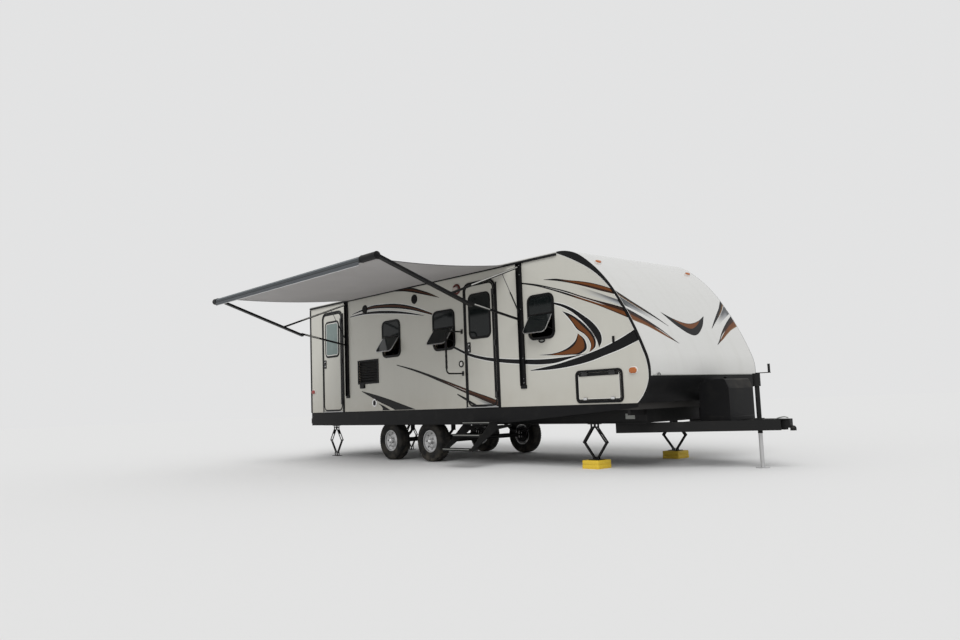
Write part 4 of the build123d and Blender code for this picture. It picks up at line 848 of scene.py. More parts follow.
# Stripes on the front cap, as pairs of edges in (y, z), curb half
CAP_STRIPES = {
    "upper": ("cap_upper",
        [(-1.177, 1.775), (-1.024, 1.671), (-0.853, 1.57), (-0.68, 1.462), (-0.507, 1.344)],
        [(-1.185, 1.712), (-1.049, 1.627), (-0.882, 1.537), (-0.698, 1.442), (-0.51, 1.34)]),
    "silver": ("cap_silver",
        [(-1.182, 1.700), (-1.049, 1.620), (-0.882, 1.530), (-0.74, 1.458), (-0.66, 1.417)],
        [(-1.155, 1.571), (-1.059, 1.534), (-0.929, 1.483), (-0.799, 1.432), (-0.665, 1.407)]),
    "lower": ("cap_lower",
        [(-1.159, 1.532), (-1.006, 1.46), (-0.844, 1.373), (-0.684, 1.275), (-0.548, 1.175), (-0.449, 1.11)],
        [(-1.173, 1.387), (-0.992, 1.333), (-0.814, 1.261), (-0.658, 1.191), (-0.553, 1.149),
         (-0.452, 1.106)]),
}


def carried_on(edge, y):
    """An edge with one point before it, where its first run would reach a given y."""
    (y0, z0), (y1, z1) = edge[:2]
    return np.array([(y, z0 + (y - y0) * (z1 - z0) / (y1 - y0))] + edge)


def make_cap_graphics():
    """The stripes' ends on both halves of the cap, and a plain two-toned crescent between them."""
    for side, word in SIDES:
        for name, (material, top, low) in CAP_STRIPES.items():
            top, low = (carried_on(edge, -1.212) * (-side, 1) for edge in (top, low))
            film(f"{word}_cap_{name}", material, top, low, on_cap)
    film("cap_crescent", "film_black",
         [(-0.511, 1.536), (-0.31, 1.452), (-0.015, 1.395), (0.27, 1.445), (0.472, 1.522)],
         [(-0.511, 1.532), (-0.33, 1.365), (-0.015, 1.228), (0.29, 1.36), (0.472, 1.517)], on_cap)
    film("cap_crescent_core", "film_core",
         [(-0.34, 1.452), (-0.19, 1.412), (-0.015, 1.388), (0.16, 1.41), (0.30, 1.448)],
         [(-0.34, 1.449), (-0.19, 1.372), (-0.015, 1.322), (0.16, 1.37), (0.30, 1.444)], on_cap, lift=0.0005)


make_stripes()
make_cap_graphics()

# Windows: side, middle x and z, width, height, and the tilt of an open lower pane in degrees
WINDOWS = {
    "curb_front": (-1, -2.915, 1.604, 0.51, 0.63, 33),
    "curb_middle": (-1, -5.068, 1.615, 0.556, 0.64, 36),
    "curb_rear": (-1, -6.518, 1.603, 0.54, 0.64, 36),
    "street_front": (1, -2.915, 1.604, 0.51, 0.63, 0),
    "street_long": (1, -4.900, 1.56, 1.15, 0.62, 0),
    "street_middle": (1, -6.75, 1.603, 0.74, 0.62, 0),
    "street_rear": (1, -8.45, 1.77, 0.42, 0.38, 0),
}

# A shut pane's face off the centre line, sections of inset and height, and the knob's radii and distances
PANE_FACE = 1.2295
WINDOW_SEAL = [(-0.005, CLEAR), (-0.005, 0.0025), (-0.001, 0.0045), (0.003, 0.0045), (0.003, CLEAR)]
WINDOW_BEAD = [(0.022, 0.0138), (0.023, 0.0165), (0.031, 0.0165), (0.0335, 0.0138)]
PANE_CHANNEL = [(0.008, 0.0014), (-0.002, 0.0014), (-0.002, -0.0074), (0.008, -0.0074), (0.008, -0.0062),
                (0.0003, -0.0062), (0.0003, 0.0003), (0.008, 0.0003)]
KNOB = [(0.012, 0), (0.013, 0.004), (0.009, 0.012), (0.014, 0.018), (0.011, 0.026)]


def pane_edging(name, half, depth, where):
    """A channel section carried down one side of a pane, round its foot and up the other side."""
    radius = 0.0705
    a = np.concatenate([[0], np.linspace(0, np.pi / 2, 9), np.linspace(np.pi / 2, np.pi, 9), [np.pi]])
    middle = np.repeat([half - radius, radius - half], 10)
    outward = np.stack([np.cos(a), np.sin(a)], 1)
    path = np.stack([middle, np.full(20, depth - radius)], 1) + radius * outward
    path[[0, -1], 1] = 0.014
    rings = np.stack([where(*(path - outward * inset).T, height) for inset, height in PANE_CHANNEL], 1)
    swept(name, rings, "steel")


def make_open_pane(word, cx, cz, half, depth, tilt):
    """A tilted pane's hinge bar, the channel round its edge, and a stay and a knob near each end."""
    hinge = cz + 0.028
    cushioned(f"{word}_hinge_bar", (cx - half, -1.2365, hinge + 0.002), (cx + half, -1.2293, hinge + 0.019),
              "black_trim")
    inward = np.array([0, np.cos(tilt), -np.sin(tilt)])
    pane = on_plane((cx, -1.229, hinge), (1, 0, 0), (0, -np.sin(tilt), -np.cos(tilt)), -inward)
    pane_edging(f"{word}_pane_edging", half + 0.0005, depth, pane)
    for way, end in ((-1, "rear"), (1, "fore")):
        start = np.array([cx + way * (half - 0.012), -1.226, cz - 0.19])
        stop = pane(way * (half - 0.03), depth - 0.10, -0.012)
        tube(f"{word}_{end}_stay", [start, (start + stop) / 2 + (0, 0, 0.004), stop], 0.004, "black_steel")
        foot = pane(way * 0.09, depth - 0.028, -0.0065)
        lathe(f"{word}_{end}_knob", KNOB, foot, inward, "black_plastic", turns=16)


def make_windows():
    """Seal and inner bead of every frame, a bar down the wide shut windows, and the open panes' fittings."""
    for word, (side, cx, cz, wide, high, tilt) in WINDOWS.items():
        outer = rounded(cx, cz, wide, high, 0.105)
        raised(f"{word}_seal", outer, WINDOW_SEAL, "foam", on_side(side), ring=True)
        raised(f"{word}_bead", outer, WINDOW_BEAD, "black_trim", on_side(side), ring=True)
        if tilt:
            make_open_pane(word, cx, cz, wide / 2 - 0.035, high / 2 - 0.0065, np.radians(tilt))
        elif wide > 0.6:
            y = sorted((side * PANE_FACE, side * (PANE_FACE + 0.007)))
            z = (cz - high / 2 + 0.036, cz + high / 2 - 0.036)
            cushioned(f"{word}_mullion", (cx - 0.011, y[0], z[0]), (cx + 0.011, y[1], z[1]), "black_trim")


make_windows()

# Rings of a door's leaf: the outline's middle height, width, height and radius, then finish and levels
DOOR_RINGS = {
    "leaf_edge": (1.3205, 0.666, 1.861, 0.104, "black_trim",
                  [(0.001, CLEAR), (0.001, 0.002), (0.003, 0.003), (0.026, 0.003), (0.028, 0.002),
                   (0.028, CLEAR)]),
    "window_surround": (1.757, 0.45, 0.64, 0.07, "black_trim",
                        [(-0.03, CLEAR), (-0.03, 0.004), (-0.026, 0.0065), (-0.004, 0.0075), (-0.0005, 0.006),
                         (-0.0005, CLEAR)]),
    "window_gasket": (1.757, 0.45, 0.64, 0.07, "foam",
                      [(-0.001, 0.0042), (-0.001, 0.0082), (0.003, 0.009), (0.008, 0.0065), (0.008, 0.0042)]),
}
LOCK_BEZEL = [(-0.003, CLEAR), (-0.003, 0.004), (0, 0.0075), (0.004, 0.0075), (0.006, 0.0062), (0.006, CLEAR)]


def make_doors():
    """Leaf edges, window surrounds, locks, hinge covers, thresholds and screws of both entry doors; the hinge
    cover and a jamb strip are made wide in black, partly painted shade.
    """
    for word, (rear, front) in DOORS.items():
        cx = (rear + front) / 2
        lock = rear + 0.105
        door = f"{word}_door"
        for name, (cz, wide, high, radius, material, levels) in DOOR_RINGS.items():
            outline = rounded(cx, cz, wide, high, radius)
            raised(f"{door}_{name}", outline, levels, material, CURB_LEAF, door, True)
        raised(f"{door}_lock_bezel", rounded(lock, 1.29, 0.074, 0.154, 0.008), LOCK_BEZEL, "black_plastic",
               CURB_LEAF, door, True)
        # Black strips down the hinge side: partly a real cover over the hinge, partly painted shade filling
        # the dark band beside it.
        raised(f"{door}_hinge_cover_and_shade", rounded(front - 0.062, 1.3205, 0.05, 1.62, 0.004),
               [FOOT, (0, 0.0022), (0.002, 0.0034)], "black_trim", CURB_LEAF, door)
        raised(f"{door}_jamb_strip_and_shade", rounded(front + 0.0135, 1.295, 0.026, 1.85, 0.003),
               [FOOT, (0, 0.006), (0.003, 0.009)], "black_trim")
        for z, radius, name in ((1.252, 0.011, "key"), (1.336, 0.009, "bolt")):
            lathe(f"{door}_{name}_cylinder",
                  [(radius, 0), (radius, 0.004), (radius * 0.8, 0.006), (radius * 0.3, 0.0055)],
                  (lock, -(SIDE + LEAF_PROUD + 0.0062), z), (0, -1, 0), "chrome", door, 20)
        raised(f"{door}_threshold", rounded(cx, 0.377, 0.70, 0.012, 0.003),
               [(0, 0.0122), (0, 0.0145), (0.002, 0.016)], "steel")
        z = np.arange(0.5, 2.2, 0.28)
        screws = np.concatenate([points_at(x, -1.2311, z) for x in (rear + 0.014, front - 0.014)])
        studs(f"{word}_frame_screws", screws, (0, -1, 0), 0.0045, 0.002, "black_steel")
    raised("rear_door_pane_frame", rounded(sum(DOORS["rear"]) / 2, 1.757, 0.434, 0.624, 0.062),
           [(0.0, 0.0043), (0.0, 0.0062), (0.014, 0.0062), (0.014, 0.0043)], "white_frame", CURB_LEAF,
           "rear_door", True)


def make_baggage_doors():
    """Dark edge, white bead and hinge strip of each baggage door, and plated caps over its latches."""
    middle = -1.9375
    outline = rounded(middle, 0.6015, 0.711, 0.357, 0.034)
    for side, word in SIDES:
        leaf = on_side(side, LEAF_PROUD)
        door = f"{word}_baggage_door"
        raised(f"{word}_baggage_bead", outline,
               [(0.015, CLEAR), (0.015, 0.0012), (0.018, 0.0022), (0.022, 0.0012), (0.022, CLEAR)],
               "white_frame", leaf, door, True)
        raised(f"{word}_baggage_edge", outline,
               [(0.001, CLEAR), (0.001, 0.003), (0.004, 0.004), (0.011, 0.004), (0.014, 0.003),
                (0.014, CLEAR)], "black_trim", leaf, door, True)
        raised(f"{word}_baggage_hinge", rounded(middle, 0.753, 0.66, 0.034, 0.006),
               [FOOT, (0, 0.0065), (0.004, 0.0085), (0.012, 0.0085)], "black_trim", leaf, door)
        for way, end in ((-1, "rear"), (1, "fore")):
            raised(f"{word}_latch_cap_{end}", rounded(middle + way * 0.23, 0.444, 0.058, 0.032, 0.008),
                   [(0, 0.0142), (0, 0.0165), (0.004, 0.0195), (0.012, 0.0205)], "chrome", leaf, door)


make_doors()
make_baggage_doors()

# Ports: middle x and z, then their ring's width and height, finish, breadth and depth
PORTS = {
    "round_port": ((-7.071, 0.511), 0.14, 0.14, "chrome", 0.024, 0.014),
    "small_port": ((-4.661, 1.052), 0.11, 0.105, "black_plastic", 0.018, 0.014),
    "outlet": ((-2.916, 1.269), 0.12, 0.062, "black_plastic", 0.019, 0.016),
    "porch": ((-4.716, 2.224), 0.18, 0.17, "ring_red", 0.032, 0.022),
}
SPEAKERS = {"middle": (-5.821, 2.207), "rear": (-7.317, 2.204)}

# Plates on the walls: outline, levels, finish and, where it isn't the curb wall, the wall
PLATES = {
    "outlet_box": (rounded(-7.44, 0.823, 0.15, 0.09, 0.014), [FOOT, (0, 0.016), (0.004, 0.02)],
                   "black_plastic"),
    "outlet_flap": (rounded(-7.44, 0.82, 0.13, 0.07, 0.01), [(0, 0.0202), (0, 0.024), (0.003, 0.027)],
                    "black_trim"),
    "round_port_cap": (oval(*PORTS["round_port"][0], 0.09, 0.09),
                       [FOOT, (0, 0.006), (0.01, 0.009), (0.02, 0.006)], "black_plastic"),
    "small_port_cap": (oval(*PORTS["small_port"][0], 0.062, 0.062),
                       [FOOT, (0, 0.008), (0.008, 0.012), (0.02, 0.01)], "white_frame"),
    "outlet_core": (oval(*PORTS["outlet"][0], 0.08, 0.022), [FOOT, (0, 0.007), (0.006, 0.01)], "plate_grey"),
    "antenna_socket": (rounded(-1.663, 1.182, 0.034, 0.084, 0.01), [FOOT, (0, 0.009), (0.004, 0.012)],
                       "black_plastic"),
    "inlet_flap": (rounded(-8.65, 0.70, 0.15, 0.17, 0.02), [FOOT, (0, 0.012), (0.006, 0.018), (0.02, 0.02)],
                   "white_frame", STREET),
}


def make_speakers():
    """The speakers under the awning: a low dome each, with a grille of small pegs."""
    a, b = np.meshgrid(np.linspace(-0.054, 0.054, 13), np.linspace(-0.056, 0.056, 13))
    near = (a / 0.059)**2 + (b / 0.062)**2 < 1
    for word, (x, z) in SPEAKERS.items():
        raised(f"{word}_speaker", oval(x, z, 0.155, 0.16),
               [FOOT, (0, 0.007), (0.005, 0.014), (0.011, 0.015), (0.015, 0.011)], "black_plastic")
        pegs = points_at(x + a[near], -(SIDE + 0.011), z + b[near])
        studs(f"{word}_speaker_grille", pegs, (0, -1, 0), 0.0032, 0.0018, "foam", sides=6)


def make_wall_fittings():
    """Ports, outlets, sockets and flaps, and the side markers near both ends of both walls."""
    for name, plate in PLATES.items():
        raised(name, *plate)
    for name, (middle, wide, high, material, breadth, depth) in PORTS.items():
        bezel(f"{name}_ring", oval(*middle, wide, high), material, CURB, breadth, depth)
    for side, word in SIDES:
        for x, end in ((-1.379, "fore"), (-9.2, "rear")):
            raised(f"{word}_{end}_marker_base", rounded(x, 0.776, 0.135, 0.092, 0.044),
                   [FOOT, (0, 0.006), (0.006, 0.01)], "white_frame", on_side(side))
            raised(f"{word}_{end}_marker_lens", rounded(x, 0.774, 0.115, 0.074, 0.036),
                   [(0, 0.0102), (0.002, 0.02), (0.008, 0.0255), (0.016, 0.0268)], "lens", on_side(side))


def make_screws():
    """Rows of small fixings along the skirts and up the rear corners."""
    x = np.concatenate([np.arange(-9.1, -7.35, 0.3), np.arange(-4.95, -1.5, 0.3)])
    z = np.arange(0.55, 2.3, 0.25)
    for side, word in SIDES:
        studs(f"{word}_skirt_screws", points_at(x, side * 1.2052, 0.352), (0, side, 0), 0.006, 0.003, "steel")
        studs(f"{word}_corner_screws", points_at(-9.262, side * 1.2252, z), (0, side, 0), 0.005, 0.0025,
              "black_trim")


def make_end_fittings():
    """Lamps on the cap, rims of the tail lamps, the stone guard's bead and loop, and the blank rail plate."""
    back = on_plane((REAR - 0.03, 0, 0), (0, 1, 0), (0, 0, 1), (-1, 0, 0))
    for side, word in SIDES:
        middle = (side * 1.03, 2.24)
        raised(f"{word}_cap_lamp_base", oval(*middle, 0.13, 0.05), [FOOT, (0, 0.006), (0.005, 0.009)],
               "white_frame", on_cap)
        raised(f"{word}_cap_lamp", oval(*middle, 0.108, 0.036),
               [(0, 0.0092), (0.001, 0.02), (0.007, 0.027), (0.014, 0.029)], "lens", on_cap)
        bezel(f"{word}_tail_bezel", rounded(side * 0.99, 0.595, 0.286, 0.156, 0.02), "black_trim", back,
              0.010, 0.004)
    tube("guard_top_bead", points_at(-1.112, np.linspace(-1.19, 1.19, 30), 0.701), 0.005, "plate_grey")
    t = np.linspace(-0.2, np.pi + 0.2, 15)
    tube("guard_loop", points_at(-1.104, -1.079 + 0.024 * np.cos(t), 0.703 + 0.024 * np.sin(t)), 0.005,
         "black_steel")
    rail = on_plane((0, -0.9037, 0), (1, 0, 0), (0, 0, 1), (0, -1, 0))
    raised("rail_plate", rounded(-1.715, 0.2, 0.15, 0.07, 0.006), [FOOT, (0, 0.0012), (0.0006, 0.0016)],
           "plate_grey", rail)


make_speakers()
make_wall_fittings()
make_screws()
make_end_fittings()

# Awning: the cloth's rear end and length along X, the roller's middle in Y and Z, and the wall channels' X
CLOTH_REAR, CLOTH_LONG = -7.844, 4.3025
ROLLER_Y, ROLLER_Z = -3.7365, 2.28
CHANNELS = {"fore": -3.3035, "rear": -7.934}


def make_awning_sheet():
    """The roof sheet: straight lines out from the rail, sagging as a parabola, with slow ripples along it."""
    u, t = np.meshgrid(np.linspace(0, 1, 120), np.linspace(0, 1, 40), indexing="ij")
    bow = 4 * t * (1 - t)
    pull = np.where(u < 0.5, 1 - np.minimum(u * 12, 1), np.minimum((1 - u) * 12, 1) - 1)
    ripple = 0.0035 * np.sin(2 * np.pi * 6.5 * u + 0.8) * np.sin(np.pi * t)
    middle = points_at(CLOTH_REAR + CLOTH_LONG * u + 0.012 * bow * pull, -1.241 - 2.4835 * t,
                       2.428 - 0.105 * t - 0.05 * bow + ripple)
    lift = np.array([0, 0, 0.0009])
    piece = slab("awning_sheet", middle + lift, middle - lift, "awning_cloth", uv=np.stack([u, t], -1))
    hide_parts("awning_fabric")
    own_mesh(piece)


def make_roller():
    """The rolled cloth as a spiral of one turn and a bit, and the valance with its slow waves."""
    x = np.linspace(-7.852, -3.5335, 60)[:, None]
    a = whole_turn(40)
    radius = 0.0385 + 0.0012 * a / (2 * np.pi)
    rings = points_at(x, ROLLER_Y + radius * np.cos(a + 2.2), ROLLER_Z + radius * np.sin(a + 2.2))
    uv = np.stack(np.broadcast_arrays((x - x[0]) / (x[-1] - x[0]), a / (2 * np.pi)), -1)
    roll = swept("awning_roll", rings, "roller_cloth", "awning_roller", uv=uv)
    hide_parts("awning_roller")
    u, v = np.meshgrid(np.linspace(0, 1, 160), np.linspace(0, 1, 14), indexing="ij")
    wave = 0.0026 * v * np.sin(2 * np.pi * 11 * u)
    face = points_at(CLOTH_REAR + CLOTH_LONG * u, -3.7775 - wave, 2.3 - 0.104 * v)
    lift = np.array([0, 0.0008, 0])
    skirt = slab("awning_valance", face - lift, face + lift, "valance_cloth", "awning_roller",
                 np.stack([u, v], -1))
    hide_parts("awning_roller")


def make_awning_hardware():
    """Rings and caps on the arm heads, and the channels' feet, heads and fixings."""
    ring = [(0.0472, -0.006), (0.049, -0.004), (0.049, 0.004), (0.0472, 0.006)]
    cap = [(0.044, 0), (0.043, 0.004), (0.03, 0.007), (0.012, 0.008), (0.012, 0.013), (0.006, 0.014)]
    for word, inner, outer, way in (("fore", -3.5295, -3.1905, 1), ("rear", -7.856, -7.980, -1)):
        for x, name in ((inner + way * 0.012, "inner"), (outer - way * 0.012, "outer")):
            lathe(f"{word}_head_{name}_ring", ring, (x, ROLLER_Y, ROLLER_Z), (1, 0, 0), "black_steel",
                  "awning_outer_arms")
        lathe(f"{word}_head_cap", cap, (outer, ROLLER_Y, ROLLER_Z), (way, 0, 0), "black_plastic",
              "awning_outer_arms", 24)
    for word, x in CHANNELS.items():
        bolts = points_at(x, -1.2222, np.array([0.70, 0.76, 1.05, 1.75, 2.25, 2.38]))
        studs(f"{word}_channel_bolts", bolts, (0, -1, 0), 0.0065, 0.004, "steel", sides=6)
        raised(f"{word}_channel_foot", rounded(x, 0.645, 0.118, 0.05, 0.012),
               [FOOT, (0, 0.012), (0.004, 0.017)], "black_arms")
        raised(f"{word}_channel_head", rounded(x, 2.424, 0.118, 0.022, 0.008),
               [FOOT, (0, 0.03), (0.004, 0.034)], "black_arms")


def make_bar_highlights():
    """Painted highlights on the inner bars, pale plates standing for the sunlit glint on their black faces: a
    low cushion of section carried along each bar's forward face.
    """
    low, high, elbow, joint = np.array([(-1.247, 1.605), (-1.247, 2.36), (-2.15, 1.79), (-2.4869, 1.9099)])
    highlights = {
        "upper": (high + (joint - high) * 0.03, high + (joint - high) * 0.74, 0.0295, 0.005),
        "lower": (low + (elbow - low) * 0.62, low + (elbow - low) * 0.93, -0.0085, 0.0),
    }
    # Each painted highlight is a pale strip laid on the black bar where sunlight would glint.
    for word, x in CHANNELS.items():
        for name, (start, end, lane, lift) in highlights.items():
            length = np.linalg.norm(end - start)
            along = (end - start) / length
            above = np.array([-along[1], along[0]])
            above *= np.sign(above[1])
            face = on_plane((x + lane, *start), (0, *along), (0, *above), (1, 0, 0))
            raised(f"{word}_{name}_bar_highlight", rounded(length / 2, lift, length, 0.014, 0.004),
                   [(0, 0.0002), (0, 0.0016), (0.003, 0.0028)], "highlight_plate", face, f"awning_{name}_bars")


make_awning_sheet()
make_roller()
make_bar_highlights()
make_awning_hardware()

# Running gear: axles' X, their height, and each wheel's middle off the centre line
AXLES = {"front": -5.63, "rear": -6.73}
AXLE_Z = -0.15
WHEEL_Y = 1.05

# Half of the tyre's section: distance from its middle and radius, in metres
TYRE = np.array([
    (0.0, 0.3225), (0.005, 0.3225), (0.008, 0.3295), (0.028, 0.3300), (0.031, 0.3228), (0.038, 0.3228),
    (0.041, 0.3293), (0.062, 0.3285), (0.065, 0.3225), (0.070, 0.3225), (0.073, 0.3275), (0.090, 0.3215),
    (0.0975, 0.309), (0.1005, 0.297), (0.0995, 0.290), (0.1015, 0.275), (0.1018, 0.255), (0.0985, 0.247),
    (0.0985, 0.236), (0.0935, 0.214), (0.0875, 0.195), (0.0825, 0.182), (0.076, 0.1795)])
HUB_CAP = [(0.030, 0), (0.0305, 0.004), (0.026, 0.009), (0.014, 0.0125), (0.004, 0.013)]
BACKING = [(0.05, 0), (0.128, 0.002), (0.13, 0.012), (0.118, 0.016), (0.05, 0.018)]


def make_tyre(name, x, y, body, node_name):
    """Tyre: a section of sidewall, shoulder and ribs carried round the axle, notched where the blocks end."""
    section = np.concatenate([TYRE, TYRE[:0:-1] * (-1, 1)])
    n = 288
    a = whole_turn(n)[:, None]
    share = (np.arange(n) // 2 % 3)[:, None] / 3
    off = np.abs(section[:, 0])
    shoulder = (off > 0.072) & (section[:, 1] > 0.305)
    rib = (off > 0.0405) & (off < 0.0625) & (section[:, 1] > 0.328)
    radius = section[:, 1] - shoulder * (share > 0.6) * 0.0055 - rib * (share < 0.3) * 0.003
    points = points_at(x + radius * np.cos(a), y + section[:, 0], AXLE_Z + radius * np.sin(a))
    piece = keep_crisp(build(name, points, quads(n, len(section), True, True), "tyre", body), 0.5)
    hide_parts(node_name)


def make_clip(name, x, y):
    """A spring clip over an axle: two legs and the arch between them."""
    t = np.linspace(0, np.pi, 13)
    leg = np.array([-0.205, -0.16, -0.11])
    path = [points_at(x, y + 0.032, leg), points_at(x, y + 0.032 * np.cos(t), -0.076 + 0.02 * np.sin(t)),
            points_at(x, y - 0.032, leg[::-1])]
    tube(name, np.concatenate(path), 0.006, "steel")


def make_wheels():
    """Tyre, six nuts, a domed cap and a plate behind the hub of each wheel, and two clips on its spring."""
    a = whole_turn(6)
    for end, x in AXLES.items():
        for side, word in SIDES:
            wheel = f"{end}_{word}"
            body = f"{wheel}_wheel"
            out = (0, side, 0)
            make_tyre(f"{wheel}_tread", x, side * WHEEL_Y, body, f"{wheel}_tyre")
            nuts = points_at(x + 0.065 * np.cos(a), side * (WHEEL_Y + 0.0535), AXLE_Z + 0.065 * np.sin(a))
            studs(f"{wheel}_nuts", nuts, out, 0.0105, 0.017, "chrome", body, 6)
            lathe(f"{wheel}_hub_cap", HUB_CAP, (x, side * 1.1482, AXLE_Z), out, "chrome", body, 24)
            lathe(f"{wheel}_backing", BACKING, (x, side * 0.956, AXLE_Z), out, "black_steel", turns=40)
            make_clip(f"{wheel}_rear_clip", x - 0.03, side * 0.9)
            make_clip(f"{wheel}_fore_clip", x + 0.03, side * 0.9)


def make_steps():
    """Ribbed pads on the three treads, a wave across each carried along it, and a bead on each nose."""
    for edge, top, word in ((1.380, 0.157, "upper"), (1.580, -0.015, "middle"), (1.780, -0.205, "lower")):
        x, across_pad = np.meshgrid(np.linspace(-4.480, -3.908, 24), np.linspace(0, 1, 90), indexing="ij")
        y = -edge + 0.008 + 0.148 * across_pad
        wave = np.clip(np.sin(2 * np.pi * 9 * across_pad) * 3, -1, 1)
        face = points_at(x, y, top + 0.0042 + 0.0016 * wave)
        slab(f"{word}_tread_pad", face, points_at(x, y, top + 0.0004), "foam")
        nose = points_at(np.linspace(-4.49, -3.898, 12), -edge - 0.001, top - 0.004)
        tube(f"{word}_tread_nose", nose, 0.005, "plate_grey")


def make_handle_grip():
    """Foam grip on the assist handle, rings of slowly changing radius up its leg, and its bolts."""
    z = np.linspace(0.975, 1.485, 40)[:, None]
    a = whole_turn(20)
    radius = 0.0165 + 0.0012 * np.sin((z - 0.975) * 2 * np.pi / 0.085)
    radius[[0, -1]] = 0.0135
    rings = points_at(-4.628 + radius * np.cos(a), -1.545 + radius * np.sin(a), z)
    swept("assist_handle_grip", rings, "foam")
    bolts = [(x, -1.2272, flange + way * 0.022) for x in (-4.642, -4.614) for flange in (0.903, 1.55)
             for way in (-1, 1)]
    studs("assist_handle_bolts", bolts, (0, -1, 0), 0.0045, 0.003, "steel", sides=6)


make_wheels()
make_steps()
make_handle_grip()

# Roof and drawbar

# Vents on the roof: middle x and y
VENTS = {"front": (-3.3, 0.0), "middle": (-7.1, 0.3), "rear": (-8.5, -0.25)}


def make_roof_details():
    """Louvre bars on the air conditioner's slanting sides, and domed covers with flanges on the vents."""
    run, rise = np.array([0.07, 0.235]) / np.hypot(0.07, 0.235)
    for side, word in SIDES:
        face = on_plane((-5.29, side * 0.35, 2.484), (1, 0, 0), (0, -side * run, rise), (0, side * rise, run))
        for i, b in enumerate(np.linspace(0.055, 0.175, 6)):
            raised(f"cooler_{word}_louvre_{i}", rounded(0, b, 0.46, 0.011, 0.005),
                   [(0, 0.0005), (0, 0.004), (0.003, 0.007)], "plate_grey", face)
    for word, (x, y) in VENTS.items():
        cushioned(f"{word}_vent_dome", (x - 0.205, y - 0.205, 2.545), (x + 0.205, y + 0.205, 2.612),
                  "white_frame", 0.35, 16)
        bezel(f"{word}_vent_flange", rounded(x, y, 0.46, 0.46, 0.03), "plate_grey", on_top(2.4985),
              0.024, 0.004)


def make_drawbar_details():
    """Battery lid with its hold-down bar, the gas cover's seam and knob, and the coupler's latch lever."""
    battery, gas = -1.2225, -0.8625
    raised("battery_lid", rounded(battery, 0.23, 0.209, 0.354, 0.02),
           [(0, 0.252), (0, 0.272), (0.006, 0.279), (0.03, 0.281)], "black_plastic", on_top(0.0))
    tube("battery_bar", points_at(battery, np.linspace(0.035, 0.425, 9), 0.287), 0.006, "steel")
    studs("battery_wing_bolts", [(battery, 0.05, 0.288), (battery, 0.41, 0.288)], (0, 0, 1), 0.011, 0.016,
          "chrome", sides=6)
    bezel("gas_cover_seam", rounded(gas, 0, 0.431, 0.586, 0.04), "black_trim", on_top(0.15), 0.004, 0.012)
    lathe("gas_cover_knob", [(0.012, 0), (0.012, 0.01), (0.022, 0.014), (0.024, 0.028), (0.018, 0.034)],
          (gas, 0, 0.6292), (0, 0, 1), "black_plastic", turns=20)
    lever = curve_through([(-0.2, 0, 0.121), (-0.15, 0, 0.134), (-0.1, 0, 0.139), (-0.055, 0, 0.128)], 16)
    tube("coupler_lever", lever, 0.007, "plate_grey", sides=10)


def make_leveling_blocks():
    """Two layers of moulded pads under each front jack, with small pegs along the upper face's border."""
    jack_x, jack_y, wide = -2.318, 0.9, 0.28
    levels = [(0.002, 0.0), (0, 0.004), (0, 0.047), (0.005, 0.0545)]
    a = np.linspace(-0.118, 0.118, 7)
    for side, word in SIDES:
        y = side * jack_y
        for z, size, name in ((GROUND, wide, "lower"), (GROUND + 0.055, wide - 0.004, "upper")):
            piece = raised(f"{word}_{name}_pad", rounded(jack_x, y, size, size, 0.014), levels,
                           "yellow_plastic", on_top(z))
            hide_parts("leveling_blocks")
        pegs = [(jack_x + i, y + j, -0.3708) for i in a for j in a if max(abs(i), abs(j)) > 0.1]
        studs(f"{word}_pad_pegs", pegs, (0, 0, 1), 0.007, 0.003, "yellow_plastic")


make_roof_details()
make_drawbar_details()
make_leveling_blocks()

# Camera, lamp and floor


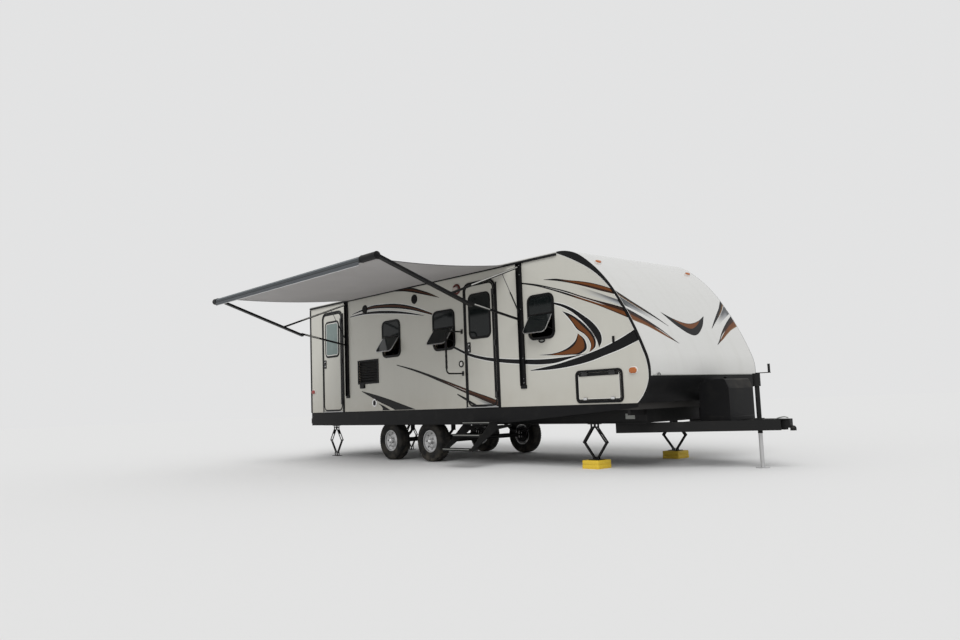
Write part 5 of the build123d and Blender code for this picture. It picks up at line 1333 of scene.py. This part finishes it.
def make_camera():
    """The photograph's viewpoint, solved from the body's straight edges."""
    azimuth, pitch, roll = np.radians([48.346, 5.954, -2.196])
    ahead = np.array([-np.sin(azimuth) * np.cos(pitch), np.cos(azimuth) * np.cos(pitch), np.sin(pitch)])
    right = np.array([np.cos(azimuth), np.sin(azimuth), 0.0])
    above = np.cross(right, ahead)
    data = bpy.data.cameras.new("viewpoint")
    data.sensor_width = 36.0
    data.lens = 29.493
    data.clip_end = 200.0
    matrix = np.eye(4)
    matrix[:3, 0] = np.cos(roll) * right + np.sin(roll) * above
    matrix[:3, 1] = -np.sin(roll) * right + np.cos(roll) * above
    matrix[:3, 2] = -ahead
    matrix[:3, 3] = (4.646, -9.080, 0.455)
    camera = placed("viewpoint", data)
    camera.matrix_world = Matrix(matrix.tolist())
    bpy.context.scene.camera = camera


def make_floor():
    """A wide disc of pale floor at the ground, dull and even."""
    material = bpy.data.materials.new("pale_floor")
    material.use_nodes = True
    inputs = material.node_tree.nodes["Principled BSDF"].inputs
    inputs["Roughness"].default_value = 1.0
    inputs["Specular IOR Level"].default_value = 0.0
    inputs["Base Color"].default_value = (0.79, 0.79, 0.787, 1.0)
    a = whole_turn(96)
    radii = np.array([0.01, 8.0, 30.0, 90.0])[:, None]
    points = points_at(-4.0 + radii * np.cos(a), radii * np.sin(a), GROUND)
    faces = quads(len(radii), len(a), False, True) + [list(range(len(a)))]
    mesh = bpy.data.meshes.new("floor_disc")
    mesh.from_pydata(points.reshape(-1, 3).tolist(), [], faces)
    mesh.materials.append(material)
    floor = placed("floor_disc", mesh)


def make_light():
    """A broad soft lamp from above the camera's side and an even sky, with a pale tone behind everything."""
    data = bpy.data.lights.new("broad_lamp", "SUN")
    data.energy = 1.7
    data.angle = np.radians(40.0)
    lamp = placed("broad_lamp", data)
    lamp.rotation_euler = Vector((-0.45, 0.55, -0.7)).to_track_quat("-Z", "Y").to_euler()
    world = bpy.data.worlds.new("studio")
    bpy.context.scene.world = world
    world.use_nodes = True
    tree = world.node_tree
    sky = tree.nodes["Background"]
    path = tree.nodes.new("ShaderNodeLightPath")
    seen = sum(Value(tree, path.outputs[f"Is {kind} Ray"]) for kind in ("Camera", "Glossy", "Transmission"))
    tree.links.new((seen.clamped() * 0.17 + 0.6).socket, sky.inputs["Strength"])
    sky.inputs["Color"].default_value = (0.995, 0.997, 1.0, 1.0)


make_camera()
make_floor()
make_light()
bpy.context.scene.view_settings.view_transform = "Standard"
